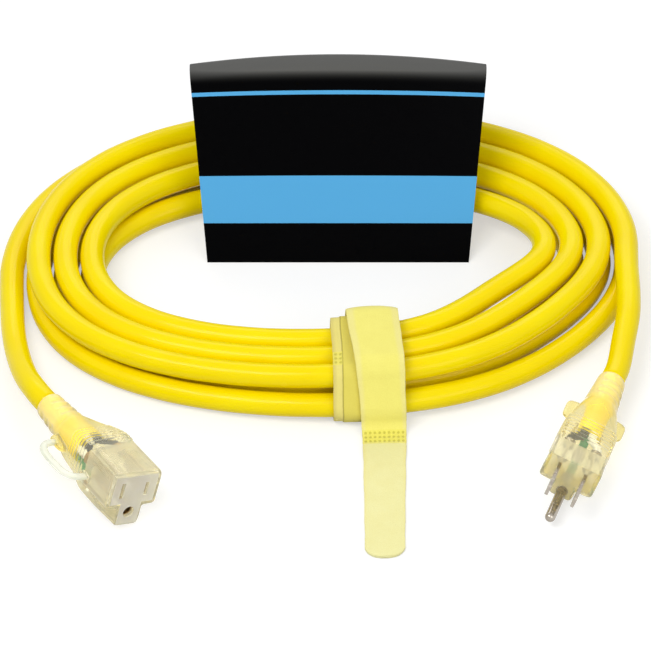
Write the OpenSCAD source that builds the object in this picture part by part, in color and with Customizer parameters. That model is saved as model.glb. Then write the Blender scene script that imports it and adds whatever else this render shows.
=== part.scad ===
// Coiled extension cord: a three-conductor lead wound into an oval coil on the floor, with a clear
// moulded plug and connector, a hook-and-loop strap round the front of the coil and a folded card
// sleeve standing over the rear. Millimetres. +X is right, -Y is the front, +Z is up, and the
// origin is on the floor under the middle of the whole part.

/* [Cord] */
// Outer diameter of the jacket
cord_d = 11; // [10:0.25:12]
// Diameter of one insulated conductor
wire_d = 3.9; // [3:0.1:4.2]

/* [Coil] */
// Half width of the innermost turn, on its centreline
coil_half_w = 97.5; // [92:0.5:120]
// Depth of the innermost turn towards the front, on its centreline
coil_front_d = 59; // [56:0.5:72]
// Depth of the innermost turn towards the rear, on its centreline
coil_rear_d = 52; // [48:0.5:72]
// Space between neighbouring turns at the sides
side_gap = 1; // [0.6:0.1:4]
// Space between neighbouring turns at the front, under the strap
front_gap = 1.3; // [0.6:0.1:2]
// Space between neighbouring turns at the rear, where they fan out
rear_gap = 3.6; // [0.6:0.1:5]
// Space between the lower and the upper layer
layer_gap = 1; // [0.8:0.1:2]

/* [Ends] */
// Length of the strain relief at each end
relief_len = 20; // [20:1:30]
// Thickness of the clear wall round the rigid core at the face
cover_wall = 2; // [1.5:0.1:2.2]
// Distance between the two flat blades, centre to centre
blade_pitch = 12.7; // [12:0.1:13]
// Distance from the blades' line down to the round earth pin
earth_drop = 11.9; // [11.5:0.1:12.2]
// Height of the blades' line over the axis of the cord
blade_rise = 4; // [3.5:0.1:4.5]
// Reach of each pull ear from the axis
ear_reach = 14.5; // [14:0.5:18]

/* [Plug] */
// Length of the plug's body, from the strain relief to the face
plug_len = 50; // [46:1:60]
// Length of the jacket that is moulded into the plug, past the strain relief
plug_jacket_in = 22; // [16:1:24]
// Depth of the plug's rigid core, behind the face
plug_core_len = 11; // [9:0.5:12]
// Width of the plug's face
plug_face_w = 26; // [25:0.5:30]
// Length of each flat blade past the face
blade_len = 17; // [15:0.5:18]
// Width of each flat blade
blade_w = 6.35; // [6:0.05:6.7]
// Thickness of each flat blade
blade_t = 1.52; // [1.4:0.02:1.6]
// Diameter of the round earth pin
pin_d = 4.75; // [4.6:0.05:4.9]
// Length of the round earth pin past the face
pin_len = 21; // [19:0.5:23]

/* [Connector] */
// Length of the connector's body, from the strain relief to the face
connector_len = 54; // [54:1:64]
// Length of the jacket that is moulded into the connector, past the strain relief
connector_jacket_in = 16; // [13:1:17]
// Depth of the connector's rigid core, behind the face
connector_core_len = 23; // [22.5:0.5:24]
// Width of the connector's face
connector_face_w = 26.5; // [26:0.5:30]
// Thickness of the brass contacts
contact_t = 0.8; // [0.6:0.1:1]
// Reach of the hang loop past the ears
loop_reach = 10; // [9.5:0.5:16]
// Thickness of the hang loop's band
loop_band = 2.8; // [2.4:0.1:3.2]

/* [Strap] */
// Width of the strap
strap_w = 19.5; // [16:0.5:24]
// Thickness of the strap
strap_t = 1.6; // [1.2:0.1:2]
// Length of the free tail on the floor
tail_len = 86.5; // [70:0.5:110]

/* [Card sleeve] */
// Width of the card at its fold
card_top_w = 135; // [110:1:150]
// Width of the card at its lower edges
card_foot_w = 119; // [100:1:140]
// Height of the fold at its ends
card_h = 73; // [60:1:90]
// How much higher the fold is in its middle
card_arch = 6; // [0:0.5:8]
// Distance between the two feet of the card
card_spread = 101; // [101:0.5:116]
// Thickness of the card
card_t = 0.8; // [0.6:0.1:1.2]

/* [Hidden] */

$fn = 48;
skin = 0.01;
past = 1;
fit = 0.05;
rest_gap = 0.3;

// Cord and coil. The cord starts at the left, winds clockwise seen from above, spirals in along the
// floor, climbs a layer at the rear and spirals out again.
cord_r = cord_d / 2;
layer_turns = 3.25;
coil_turns = 2 * layer_turns;
climb_turns = 0.5;
lower_spread = 0.5;
climb_tuck = 0.2;
squareness = 0.012;
rings_per_turn = 24;
cord_sides = 8;
wire_sides = 8;
gap_samples = 96;

// The turns splay at the front right, and a little at the front left. A splay is the angle where,
// the way that the turns move there, a power that fades it on both sides, how far the innermost turn
// moves and how much more each turn outwards does.
right_splay = [-33, 135, 7, 15.5, -2.7];
left_splay = [-147, -155, 8, 1.4, 0.8];

// Strap. It lifts the turns that lie on it, over a stretch that a power of a cosine shapes.
strap_gap = 0.8;
strap_angle = -80;
strap_heading = 2;
strap_lift = strap_t + strap_gap;
lift_power = 6;
strap_x = 13.7;
wrap_x = -5;
band_x = 5;

function clamp(u) = max(0, min(1, u));
function smooth(u) = let (c = clamp(u)) c * c * (3 - 2 * c);
function unit(v) = v / norm(v);

function climb(t) = (t - layer_turns) / climb_turns + 0.5;
function turn_index(t) =
    let (s = smooth(climb(t)), lower = layer_turns + lower_spread - t, upper = t - layer_turns)
    lower * (1 - s) + upper * s - climb_tuck * pow(sin(180 * clamp(climb(t))), 2);
function turn_angle(t) = 180 - 360 * t;
function splayed(t, splay) = (splay[3] + splay[4] * turn_index(t))
    * pow(max(0, cos(turn_angle(t) - splay[0])), splay[2]) * [cos(splay[1]), sin(splay[1]), 0];
function strap_raise(a) = strap_lift * pow(max(0, cos(a - strap_angle)), lift_power);
function half_width(t) = coil_half_w + turn_index(t) * (cord_d + side_gap);
function coil_point(t) =
    let (
        a = turn_angle(t),
        front_d = coil_front_d + turn_index(t) * (cord_d + front_gap),
        rear_d = coil_rear_d + turn_index(t) * (cord_d + rear_gap),
        x = half_width(t) * ((1 + squareness) * cos(a) - squareness * cos(3 * a)),
        y = (rear_d - front_d) / 2
            + (rear_d + front_d) / 2 * ((1 + squareness) * sin(a) + squareness * sin(3 * a)),
        z = cord_r + smooth(climb(t)) * (cord_d + layer_gap) + strap_raise(a)
    )
    [x, y, z] + splayed(t, right_splay) + splayed(t, left_splay);
coil_start = coil_point(0) - [0, cord_d, 0];
coil_end = coil_point(coil_turns) - [0, cord_d, 0];
coil_path = concat(
    [coil_start],
    [for (i = [0:coil_turns * rings_per_turn]) coil_point(i / rings_per_turn)],
    [coil_end]
);

// Ends. Each end is drawn along +Z from the mouth of its strain relief, with +Y up and +X to the
// right seen from its face, and then laid on the floor on the lower corner of its face.
plug_heading = -17;
plug_roll = 20;
connector_heading = 31;
connector_roll = 16;
corner_r = 2;
plug_lobe_half = 5.5;
plug_lobe_depth = 12.2;
connector_lobe_half = 6.5;
connector_lobe_depth = 15;
side_swell = 1.5;
plug_inward = 8;
plug_ahead = 77;
connector_inward = 18.5;
connector_ahead = 95;
plug_at = [
    coil_end[0] - plug_inward,
    coil_end[1] - plug_ahead,
    rest_height(plug_lobe_half, plug_lobe_depth, plug_roll),
];
connector_at = [
    coil_start[0] + connector_inward,
    coil_start[1] - connector_ahead,
    rest_height(connector_lobe_half, connector_lobe_depth, connector_roll),
];
function rest_height(half, depth, roll) =
    (half + side_swell - corner_r) * sin(roll) + (depth - corner_r) * cos(roll) + corner_r;
function forward(heading) = [sin(heading), -cos(heading), 0];

// The clear body widens from the strain relief to its face. It is a little narrower than the face
// along its sides, and deeper.
side_draw = 0.8;
shoulder_drop = 5;
plug_top = 12.5;
connector_top = 13.5;
neck_len = 9;
neck_swell = 1.4;
neck_rise = 1.6;
neck_corner = 6;
sides_start = 24;
top_swell = 0.5;
side_corner = 4;
taper_len = 16;
lobe_start = 22;
room_gap = 0.4;
relief_r0 = cord_r + 1.8;
relief_r1 = cord_r + 3.1;
groove_count = 3;
groove_w = 1.6;
groove_depth = 0.8;
groove_start = 5;
groove_pitch = 4.8;
ear_t = 2.4;
ear_back = 2.5;
ear_len = 12;
ear_corner = 3;
rib_count = 7;
rib_pitch = 2.2;
rib_w = 1;
rib_h = 0.5;
rib_start = 17;
rib_inner_x = 5;
rib_drop = 3;

wire_ring = wire_d / sqrt(3) / cos(180 / wire_sides) + fit;
wire_lead = 2;
wire_steps = 7;
barrel_r = 2.6;
barrel_len = 5;

plug_face_z = relief_len + plug_len;
plug_jacket_z = relief_len + plug_jacket_in;
plug_core_z = plug_face_z - plug_core_len;
plug_socket_z = plug_core_z - barrel_len;
connector_face_z = relief_len + connector_len;
connector_jacket_z = relief_len + connector_jacket_in;
connector_core_z = connector_face_z - connector_core_len;
connector_socket_z = connector_core_z - barrel_len;
earth_y = blade_rise - earth_drop;
blade_hole_d = 3.1;
blade_hole_from_tip = 3.8;
blade_tip_bevel = 1;
shank_d = pin_d + 0.8;

slot_clear = 0.5;
slot_w = blade_t + slot_clear;
slot_h = blade_w + slot_clear;
neutral_slot_extra = 1.4;
contact_w = blade_t + 2 * contact_t;
stem_d = 1.6;
contact_h = 8;
contact_len = 16;
carrier_front = 2.5;
socket_r = pin_d / 2 + 0.1;
earth_len = 20;
earth_slit = 0.9;
earth_mouth_r = socket_r + 0.4;

loop_back = ear_back + 3;
loop_front = 36;
lug_len = 5;
loop_r = 9.5;

// Hand-laid routes of the two free stretches, as steps from the coil's end and from its start. Each
// stretch starts and ends straight, square to the faces that it meets.
plug_steps = [
    [0.5, -16, -0.3],
    [0.3, -32, -1.3],
    [-2.2, -50, -2.9],
];
connector_steps = [
    [0.5, -16, 0.3],
    [1.5, -34, 1.5],
    [4, -53, 3.5],
    [7.7, -71, 7.5],
];
plug_route = [for (step = plug_steps) coil_end + step];
connector_route = [for (step = connector_steps) coil_start + step];

// A smooth curve through points: each span leaves and arrives along the line between the points
// on either side of it.
function span_point(p, i, u) =
    let (
        a = p[max(0, i - 1)],
        b = p[i],
        c = p[i + 1],
        d = p[min(len(p) - 1, i + 2)]
    )
    0.5 * (2 * b + u * (c - a) + u * u * (2 * a - 5 * b + 4 * c - d)
        + u * u * u * (3 * b - a - 3 * c + d));
function smooth_path(p, steps) = concat(
    [for (i = [0:len(p) - 2], k = [0:steps - 1]) span_point(p, i, k / steps)],
    [p[len(p) - 1]]
);

// A round tube along a path: a ring of points round each point of the path, square to the path,
// whose flats touch the stated radius.
function along(path, i) = unit(path[min(len(path) - 1, i + 1)] - path[max(0, i - 1)]);
function ring(path, i, r, sides, up) =
    let (t = along(path, i), side = unit(cross(t, up)), over = cross(side, t))
    [for (k = [0:sides - 1]) let (a = 360 * (k + 0.5) / sides)
        path[i] + r / cos(180 / sides) * (cos(a) * side + sin(a) * over)];
module tube(path, r, sides, up = [0, 0, 1]) {
    last = (len(path) - 1) * sides;
    polyhedron(
        points = [for (i = [0:len(path) - 1]) each ring(path, i, r, sides, up)],
        faces = concat(
            [for (k = [1:sides - 2]) [0, k, k + 1]],
            [for (k = [1:sides - 2]) [last, last + k + 1, last + k]],
            [for (i = [0:sides:last - sides], k = [0:sides - 1])
                [i + k, i + sides + k, i + (k + 1) % sides]],
            [for (i = [0:sides:last - sides], k = [0:sides - 1])
                [i + (k + 1) % sides, i + sides + k, i + sides + (k + 1) % sides]]
        ),
        convexity = 10
    );
}

// The strap's own frame turns with it, so that it crosses the turns squarely.
function strap_world(x, y) = [
    strap_x + x * cos(strap_heading) - y * sin(strap_heading),
    x * sin(strap_heading) + y * cos(strap_heading),
];
function strap_local(p) = [
    (p[0] - strap_x) * cos(strap_heading) + p[1] * sin(strap_heading),
    -(p[0] - strap_x) * sin(strap_heading) + p[1] * cos(strap_heading),
];
strap_turn = (180 - strap_angle) / 360;
strap_reach = (strap_w / 2 - wrap_x) / (2 * PI * coil_half_w);
strap_corners = [
    for (t = [strap_turn, strap_turn + 2, strap_turn + 3, strap_turn + 5], side = [-1, 0, 1])
        [strap_local(coil_point(t + side * strap_reach))[1], coil_point(t)[2]]
];
wrap_inner = cord_r + strap_gap;
band_inner = wrap_inner + strap_t + rest_gap;
band_outer = band_inner + strap_t;
front_y = min([for (c = strap_corners) c[0]]);
front_z = strap_corners[0][1];
band_front = front_y - band_outer;
bundle_rear = max([for (c = strap_corners) c[0]]) + band_outer;
tail_start = band_front - rest_gap;
tip_r = 7;
band_rear_z = 4;

// The whole part stands with the middle of its footprint on the origin.
card_x = 4.5;
card_front_y = 13.5;
card_y = card_front_y + card_spread / 2;
foot_left = coil_start[0] - cord_r;
foot_right = max([for (p = plug_route) p[0]]) + cord_r;
foot_rear = card_front_y + card_spread;
foot_front = strap_world(band_x - strap_w / 2 + tip_r, tail_start - tail_len + tip_r)[1] - tip_r;
module whole() translate([-(foot_left + foot_right) / 2, -(foot_front + foot_rear) / 2, 0]) children();
module plug_frame() whole() translate(plug_at) rotate([90, plug_roll, plug_heading]) children();
module connector_frame()
    whole() translate(connector_at) rotate([90, connector_roll, connector_heading]) children();

// ---- Cord ----

function least_gap(points, apart) = min([
    for (i = [0:len(points) - 1 - apart], j = [i + apart:len(points) - 1])
        norm(points[i] - points[j])
]) - cord_d;
function path_length(p) = len(p) < 2 ? 0 : [for (
    i = 1, sum = norm(p[1] - p[0]);
    i < len(p);
    i = i + 1, sum = sum + (i < len(p) ? norm(p[i] - p[i - 1]) : 0)
) sum][len(p) - 2];

module cord_coil() {
    fine = [for (i = [0:coil_turns * gap_samples]) coil_point(i / gap_samples)];
    echo(least_gap_between_turns = least_gap(fine, gap_samples / 3));
    echo(length_of_the_coil = path_length(fine) + 2 * cord_d);
    color("gold") whole() tube(coil_path, cord_r, cord_sides);
}

module tail(from, route, at, heading) {
    curve = smooth_path(concat(
        [from, from - [0, cord_r, 0]], route, [at - cord_d * forward(heading), at]
    ), 2);
    last = len(curve) - 1;
    path = [for (i = [0:last]) if (i != 1 && i != last - 1) curve[i]];
    echo(length_of_the_tail = path_length(path));
    color("gold") whole() tube(path, cord_r, cord_sides);
}
module plug_tail() tail(coil_end, plug_route, plug_at, plug_heading);
module connector_tail() tail(coil_start, connector_route, connector_at, connector_heading);

// ---- What the two ends share ----

// A rectangle with round corners, from -half to half and from low to high
module rounded(half, low, high, r) {
    translate([-half + r, low]) square([2 * (half - r), high - low]);
    translate([-half, low + r]) square([2 * half, high - low - 2 * r]);
    for (x = [-half + r, half - r], y = [low + r, high - r])
        translate([x, y]) circle(r, $fn = 32);
}

// Stations are [z, half width, low, high, corner radius], and the form runs through all of them.
module loft(stations, grow = 0) {
    hull() for (s = stations)
        translate([0, 0, s[0]]) linear_extrude(skin)
            rounded(s[1] + grow, s[2] - grow, s[3] + grow, s[4] + grow);
}

function upper_stations(face_z, face_half, top) =
    let (half = face_half - side_draw, low = -shoulder_drop - side_swell, high = top + top_swell)
    [
        [relief_len, relief_r1, -relief_r1, relief_r1, relief_r1 - skin],
        [relief_len + neck_len, relief_r1 + neck_swell, -relief_r1, relief_r1 + neck_rise, neck_corner],
        [relief_len + sides_start, half, low, high, side_corner],
        [face_z - taper_len, half, low, high, side_corner],
        [face_z - skin, face_half, -shoulder_drop, top, corner_r + 1],
    ];
function lower_stations(face_z, lobe_half, lobe_depth) = [
    [relief_len, relief_r1, -relief_r1, relief_r1, relief_r1 - skin],
    [relief_len + lobe_start, lobe_half + side_swell, -lobe_depth, 0, corner_r],
    [face_z - skin, lobe_half, -lobe_depth, 0, corner_r],
];

// Finger ribs: thin slices of a slightly larger body, kept to its two upper edges
module grip_ribs(stations, top) {
    intersection() {
        loft(stations, rib_h);
        for (side = [-1, 1], i = [0:rib_count - 1])
            translate([side > 0 ? rib_inner_x : -rib_inner_x - top, -rib_drop,
                    relief_len + rib_start + i * rib_pitch])
                cube([top, top + 2 * rib_drop, rib_w]);
    }
}

module ears() translate([0, -ear_t / 2, relief_len + ear_back]) rotate([-90, 0, 0])
    linear_extrude(ear_t) rounded(ear_reach, -ear_len, 0, ear_corner);

// The rigid core's outline: the face's outline less the clear wall
module core_outline(face_half, top, lobe_half, lobe_depth, grow = 0) {
    translate([-face_half + cover_wall - grow, -shoulder_drop + cover_wall - grow])
        square([2 * (face_half - cover_wall + grow), top + shoulder_drop - 2 * (cover_wall - grow)]);
    translate([-lobe_half + cover_wall / 2 - grow, -lobe_depth + cover_wall / 2 - grow])
        square([2 * (lobe_half - cover_wall / 2 + grow), lobe_depth]);
}

// The clear moulding: a body with a shouldered face, ears and finger ribs, open at the face for
// the core, with room behind it for the conductors and a bore for the jacket
module cover(face_z, face_w, top, lobe_half, lobe_depth, jacket_z, core_back) {
    difference() {
        union() {
            loft(upper_stations(face_z, face_w / 2, top));
            loft(lower_stations(face_z, lobe_half, lobe_depth));
            grip_ribs(upper_stations(face_z, face_w / 2, top), top);
            ears();
        }
        translate([0, 0, relief_len - past])
            cylinder(r = cord_r + fit, h = jacket_z - relief_len + past);
        translate([0, 0, jacket_z - skin]) linear_extrude(core_back - jacket_z + 2 * skin)
            conductor_room();
        translate([0, 0, core_back]) linear_extrude(face_z - core_back + past)
            core_outline(face_w / 2, top, lobe_half, lobe_depth, fit);
    }
}
module conductor_room() {
    half = blade_pitch / 2 + barrel_r + room_gap;
    translate([-half, -cord_r]) square([2 * half, cord_r + blade_rise + blade_w / 2 + room_gap]);
    translate([-cord_r, earth_y - barrel_r - room_gap]) square([cord_d, cord_r]);
}

module strain_relief() {
    difference() {
        cylinder(r1 = relief_r0, r2 = relief_r1, h = relief_len);
        translate([0, 0, -past]) cylinder(r = cord_r + fit, h = relief_len + 2 * past);
        for (i = [0:groove_count - 1])
            translate([0, 0, groove_start + i * groove_pitch]) rotate_extrude()
                translate([groove_floor(i), 0]) square([groove_depth + past, groove_w]);
    }
}
function groove_floor(i) =
    relief_r0 + (relief_r1 - relief_r0) * (groove_start + i * groove_pitch) / relief_len - groove_depth;

module jacket_end(jacket_z) cylinder(r = cord_r, h = jacket_z);

// One conductor: straight out of the jacket at the given angle, across, and straight to its terminal
module conductor(angle, x, y, jacket_z, socket_z) {
    from = [wire_ring * cos(angle), wire_ring * sin(angle), jacket_z];
    to = [x, y, socket_z];
    run = to - from - [0, 0, 2 * wire_lead];
    path = concat(
        [from],
        [for (u = [0:1 / wire_steps:1])
            from + [run[0] * smooth(u), run[1] * smooth(u), run[2] * u + wire_lead]],
        [to]
    );
    tube(path, wire_d / 2, wire_sides, [1, 0, 0]);
}

// ---- Plug ----

module plug_cover() color([0.93, 0.88, 0.7, 0.5]) plug_frame()
    cover(plug_face_z, plug_face_w, plug_top, plug_lobe_half, plug_lobe_depth, plug_jacket_z, plug_core_z);
module plug_strain_relief() color([0.93, 0.88, 0.6, 0.5]) plug_frame() strain_relief();
module plug_jacket_end() color("gold") plug_frame() jacket_end(plug_jacket_z);

module plug_core() color([0.85, 0.83, 0.74]) plug_frame() {
    difference() {
        translate([0, 0, plug_core_z]) linear_extrude(plug_core_len)
            core_outline(plug_face_w / 2, plug_top, plug_lobe_half, plug_lobe_depth);
        for (x = [-blade_pitch / 2, blade_pitch / 2])
            translate([x, blade_rise, plug_core_z + plug_core_len / 2])
                cube([blade_t + 2 * fit, blade_w + 2 * fit, plug_core_len + 2 * past], center = true);
        translate([0, earth_y, plug_core_z - past])
            cylinder(d = shank_d + 2 * fit, h = plug_core_len + 2 * past);
    }
}

// A flat blade with a hole and a bevelled tip, and the barrel that grips its conductor
module blade(x) translate([x, blade_rise, 0]) {
    tip_z = plug_face_z + blade_len;
    translate([0, 0, plug_socket_z]) cylinder(r = barrel_r, h = barrel_len);
    difference() {
        translate([-blade_t / 2, -blade_w / 2, plug_core_z - past])
            cube([blade_t, blade_w, tip_z - plug_core_z + past]);
        translate([0, 0, tip_z - blade_hole_from_tip]) rotate([0, 90, 0])
            cylinder(d = blade_hole_d, h = 2 * blade_t, center = true);
        for (side = [-1, 1])
            translate([0, side * blade_w / 2, tip_z]) rotate([45, 0, 0])
                cube([2 * blade_t, blade_tip_bevel, blade_tip_bevel], center = true);
    }
}
module line_blade() color("silver") plug_frame() blade(-blade_pitch / 2);
module neutral_blade() color("silver") plug_frame() blade(blade_pitch / 2);

// The round earth pin, with a thicker shank inside the core and a domed tip
module earth_pin() color("silver") plug_frame() translate([0, earth_y, 0]) {
    dome_z = plug_face_z + pin_len - pin_d / 2;
    translate([0, 0, plug_socket_z]) cylinder(r = barrel_r, h = barrel_len - skin);
    translate([0, 0, plug_socket_z + past])
        cylinder(d = shank_d, h = plug_face_z - plug_socket_z - past);
    translate([0, 0, plug_face_z - past]) cylinder(d = pin_d, h = dome_z - plug_face_z + past);
    translate([0, 0, dome_z]) sphere(d = pin_d);
}

module plug_conductor(angle, x, y) plug_frame() conductor(angle, x, y, plug_jacket_z, plug_socket_z);
module plug_line_wire() color([0.08, 0.08, 0.08]) plug_conductor(150, -blade_pitch / 2, blade_rise);
module plug_neutral_wire() color("white") plug_conductor(30, blade_pitch / 2, blade_rise);
module plug_earth_wire() color("green") plug_conductor(-90, 0, earth_y);

// ---- Connector ----

module connector_cover() color([0.93, 0.88, 0.7, 0.5]) connector_frame() {
    cover(connector_face_z, connector_face_w, connector_top, connector_lobe_half,
        connector_lobe_depth, connector_jacket_z, connector_core_z);
    // the lug that carries the front end of the hang loop
    translate([-ear_reach, -ear_t / 2, relief_len + loop_front - lug_len])
        cube([ear_reach - connector_face_w / 2 + past, ear_t, lug_len]);
}
module connector_strain_relief() color([0.93, 0.88, 0.6, 0.5]) connector_frame() strain_relief();
module connector_jacket_end() color("gold") connector_frame() jacket_end(connector_jacket_z);

// The rigid block behind the face, with two slots, the earth hole and a cell for each contact
module contact_carrier() color([0.92, 0.9, 0.82]) connector_frame() {
    stem_r = stem_d / 2 + fit;
    mouth_z = connector_face_z - carrier_front;
    difference() {
        translate([0, 0, connector_core_z]) linear_extrude(connector_core_len)
            core_outline(connector_face_w / 2, connector_top, connector_lobe_half, connector_lobe_depth);
        for (side = [-1, 1]) translate([side * blade_pitch / 2, blade_rise, 0]) {
            high = slot_h + (side < 0 ? neutral_slot_extra : 0);
            translate([-slot_w / 2, -high / 2, mouth_z - past])
                cube([slot_w, high, carrier_front + 2 * past]);
            translate([-contact_w / 2 - fit, -contact_h / 2 - fit, mouth_z - contact_len - fit])
                cube([contact_w + 2 * fit, contact_h + 2 * fit, contact_len + fit]);
            translate([0, 0, connector_core_z - past])
                cylinder(r = stem_r, h = mouth_z - contact_len - connector_core_z + 1.5 * past);
        }
        translate([0, earth_y, connector_core_z - past])
            cylinder(r = stem_r, h = mouth_z - earth_len - connector_core_z + 1.5 * past);
        translate([0, earth_y, mouth_z - earth_len - fit])
            cylinder(r = socket_r + contact_t + fit, h = earth_len + fit);
        translate([0, earth_y, mouth_z - past])
            cylinder(r = earth_mouth_r, h = carrier_front + 2 * past);
    }
}

// The stem and the barrel that grip the conductor, behind a contact whose back is at the given height
module barrel(base) {
    translate([0, 0, connector_socket_z]) cylinder(r = barrel_r, h = barrel_len - skin);
    translate([0, 0, connector_socket_z + past])
        cylinder(d = stem_d, h = base - connector_socket_z - past + contact_t / 2);
}

// A folded brass contact: two leaves on a web
module leaf_contact(x) translate([x, blade_rise, 0]) {
    base = connector_face_z - carrier_front - contact_len;
    barrel(base);
    translate([-contact_w / 2, -contact_h / 2, base]) cube([contact_w, contact_h, contact_t]);
    for (side = [-1, 1])
        translate([side * (contact_w - contact_t) / 2 - contact_t / 2, -contact_h / 2, base])
            cube([contact_t, contact_h, contact_len]);
}
module neutral_contact() color("goldenrod") connector_frame() leaf_contact(-blade_pitch / 2);
module line_contact() color("goldenrod") connector_frame() leaf_contact(blade_pitch / 2);

// The earth contact: a slit tube with a closed back
module earth_contact() color("goldenrod") connector_frame() translate([0, earth_y, 0]) {
    base = connector_face_z - carrier_front - earth_len;
    barrel(base);
    difference() {
        translate([0, 0, base]) cylinder(r = socket_r + contact_t, h = earth_len);
        translate([0, 0, base + contact_t]) cylinder(r = socket_r, h = earth_len);
        translate([-earth_slit / 2, 0, base + 2 * contact_t])
            cube([earth_slit, socket_r + 2 * contact_t, earth_len]);
    }
}

module connector_conductor(angle, x, y)
    connector_frame() conductor(angle, x, y, connector_jacket_z, connector_socket_z);
module connector_line_wire() color([0.08, 0.08, 0.08]) connector_conductor(30, blade_pitch / 2, blade_rise);
module connector_neutral_wire() color("white") connector_conductor(150, -blade_pitch / 2, blade_rise);
module connector_earth_wire() color("green") connector_conductor(-90, 0, earth_y);

// A clear band that bows out from the left ear and comes back to the lug
module hang_loop() color([0.95, 0.93, 0.82, 0.5]) connector_frame()
    translate([-ear_reach, -ear_t / 2, relief_len]) rotate([-90, 0, 0]) linear_extrude(ear_t)
        difference() {
            loop_shape(0);
            loop_shape(loop_band);
            translate([0, -loop_front - past]) square([loop_reach, loop_front + past]);
        }
module loop_shape(inset) {
    translate([-loop_reach + loop_r, -loop_front + inset])
        square([loop_reach - loop_r + past, loop_front - loop_back - 2 * inset]);
    translate([-loop_reach + inset, -loop_front + loop_r])
        square([loop_reach, loop_front - loop_back - 2 * loop_r]);
    for (y = [-loop_front + loop_r, -loop_back - loop_r])
        translate([-loop_reach + loop_r, y]) circle(loop_r - inset);
}

// ---- Strap ----

module bundle(r) hull() for (c = strap_corners) translate(c) circle(r);
module across_strap(x) whole() translate([strap_x, 0, 0]) rotate([0, 0, strap_heading])
    translate([x, 0, 0]) rotate([90, 0, 90]) linear_extrude(strap_w, center = true) children();

module strap_wrap() color([0.89, 0.85, 0.37]) across_strap(wrap_x) difference() {
    bundle(wrap_inner + strap_t);
    bundle(wrap_inner);
}

// The outer turn comes up the inner side of the bundle, over it and straight down in front.
module strap_band() color([0.97, 0.94, 0.47]) across_strap(band_x) {
    difference() {
        bundle(band_outer);
        bundle(band_inner);
        translate([band_front - past, -band_outer])
            square([band_outer + past, front_z + band_outer]);
        translate([front_y - past, -band_outer])
            square([bundle_rear - front_y + 2 * past, band_rear_z + band_outer]);
    }
    translate([band_front, 0]) square([strap_t, front_z]);
}

module strap_tail() color([0.96, 0.95, 0.67]) whole()
    translate([strap_x, 0, 0]) rotate([0, 0, strap_heading]) translate([band_x, tail_start, 0])
        rotate([0, 0, 180]) linear_extrude(strap_t) {
            translate([-strap_w / 2, 0]) square([strap_w, tail_len - tip_r]);
            translate([-strap_w / 2 + tip_r, 0]) square([strap_w - 2 * tip_r, tail_len]);
            for (x = [-strap_w / 2 + tip_r, strap_w / 2 - tip_r])
                translate([x, tail_len - tip_r]) circle(tip_r);
        }

// ---- Card sleeve ----

// The sleeve's profile, from the front foot over the fold to the rear foot, as [y, z] from the
// middle of the fold: two flat panels and an arc between them.
fold_r = 8;
fold_rise = card_h - fold_r;
panel_angle = atan(2 * fold_rise / card_spread) + asin(fold_r / norm([fold_rise, card_spread / 2]));
fold_steps = 6;
function fold_point(r, a) = [r * sin(a), fold_rise + r * cos(a)];
function profile(inset) = concat(
    [[-(card_spread / 2 - inset / sin(panel_angle)), 0]],
    [for (i = [-fold_steps:fold_steps]) fold_point(fold_r - inset, i * panel_angle / fold_steps)],
    [[card_spread / 2 - inset / sin(panel_angle), 0]]
);
card_steps = 12;
function card_point(p, u) =
    let (h = p[1] / card_h, half = (card_foot_w + (card_top_w - card_foot_w) * h) / 2)
    [card_x + u * half, card_y + p[0], p[1] + card_arch * h * h * (1 - u * u)];

module card_sleeve() {
    loop = concat(profile(0), [for (i = [len(profile(card_t)) - 1:-1:0]) profile(card_t)[i]]);
    n = len(loop);
    m = len(profile(0));
    end = card_steps * n;
    color([0.1, 0.1, 0.11]) whole() polyhedron(
        points = [for (k = [0:card_steps]) each [for (p = loop) card_point(p, 2 * k / card_steps - 1)]],
        faces = concat(
            [for (i = [0:m - 2]) [i, i + 1, n - 1 - i]],
            [for (i = [0:m - 2]) [i + 1, n - 2 - i, n - 1 - i]],
            [for (i = [0:m - 2]) [end + i + 1, end + i, end + n - 1 - i]],
            [for (i = [0:m - 2]) [end + n - 2 - i, end + i + 1, end + n - 1 - i]],
            [for (k = [0:card_steps - 1], i = [0:n - 1]) [k * n + i, k * n + n + i, k * n + (i + 1) % n]],
            [for (k = [0:card_steps - 1], i = [0:n - 1])
                [k * n + (i + 1) % n, k * n + n + i, k * n + n + (i + 1) % n]]
        ),
        convexity = 6
    );
}

cord_coil();
plug_tail();
connector_tail();
plug_cover();
plug_strain_relief();
plug_jacket_end();
plug_core();
line_blade();
neutral_blade();
earth_pin();
plug_line_wire();
plug_neutral_wire();
plug_earth_wire();
connector_cover();
connector_strain_relief();
connector_jacket_end();
contact_carrier();
line_contact();
neutral_contact();
earth_contact();
connector_line_wire();
connector_neutral_wire();
connector_earth_wire();
hang_loop();
strap_wrap();
strap_band();
strap_tail();
card_sleeve();
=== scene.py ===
"""Dresses a coiled extension cord: the wound cord, its clear moulded ends, the strap and the card."""
from math import cos, pi, radians, sin

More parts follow.
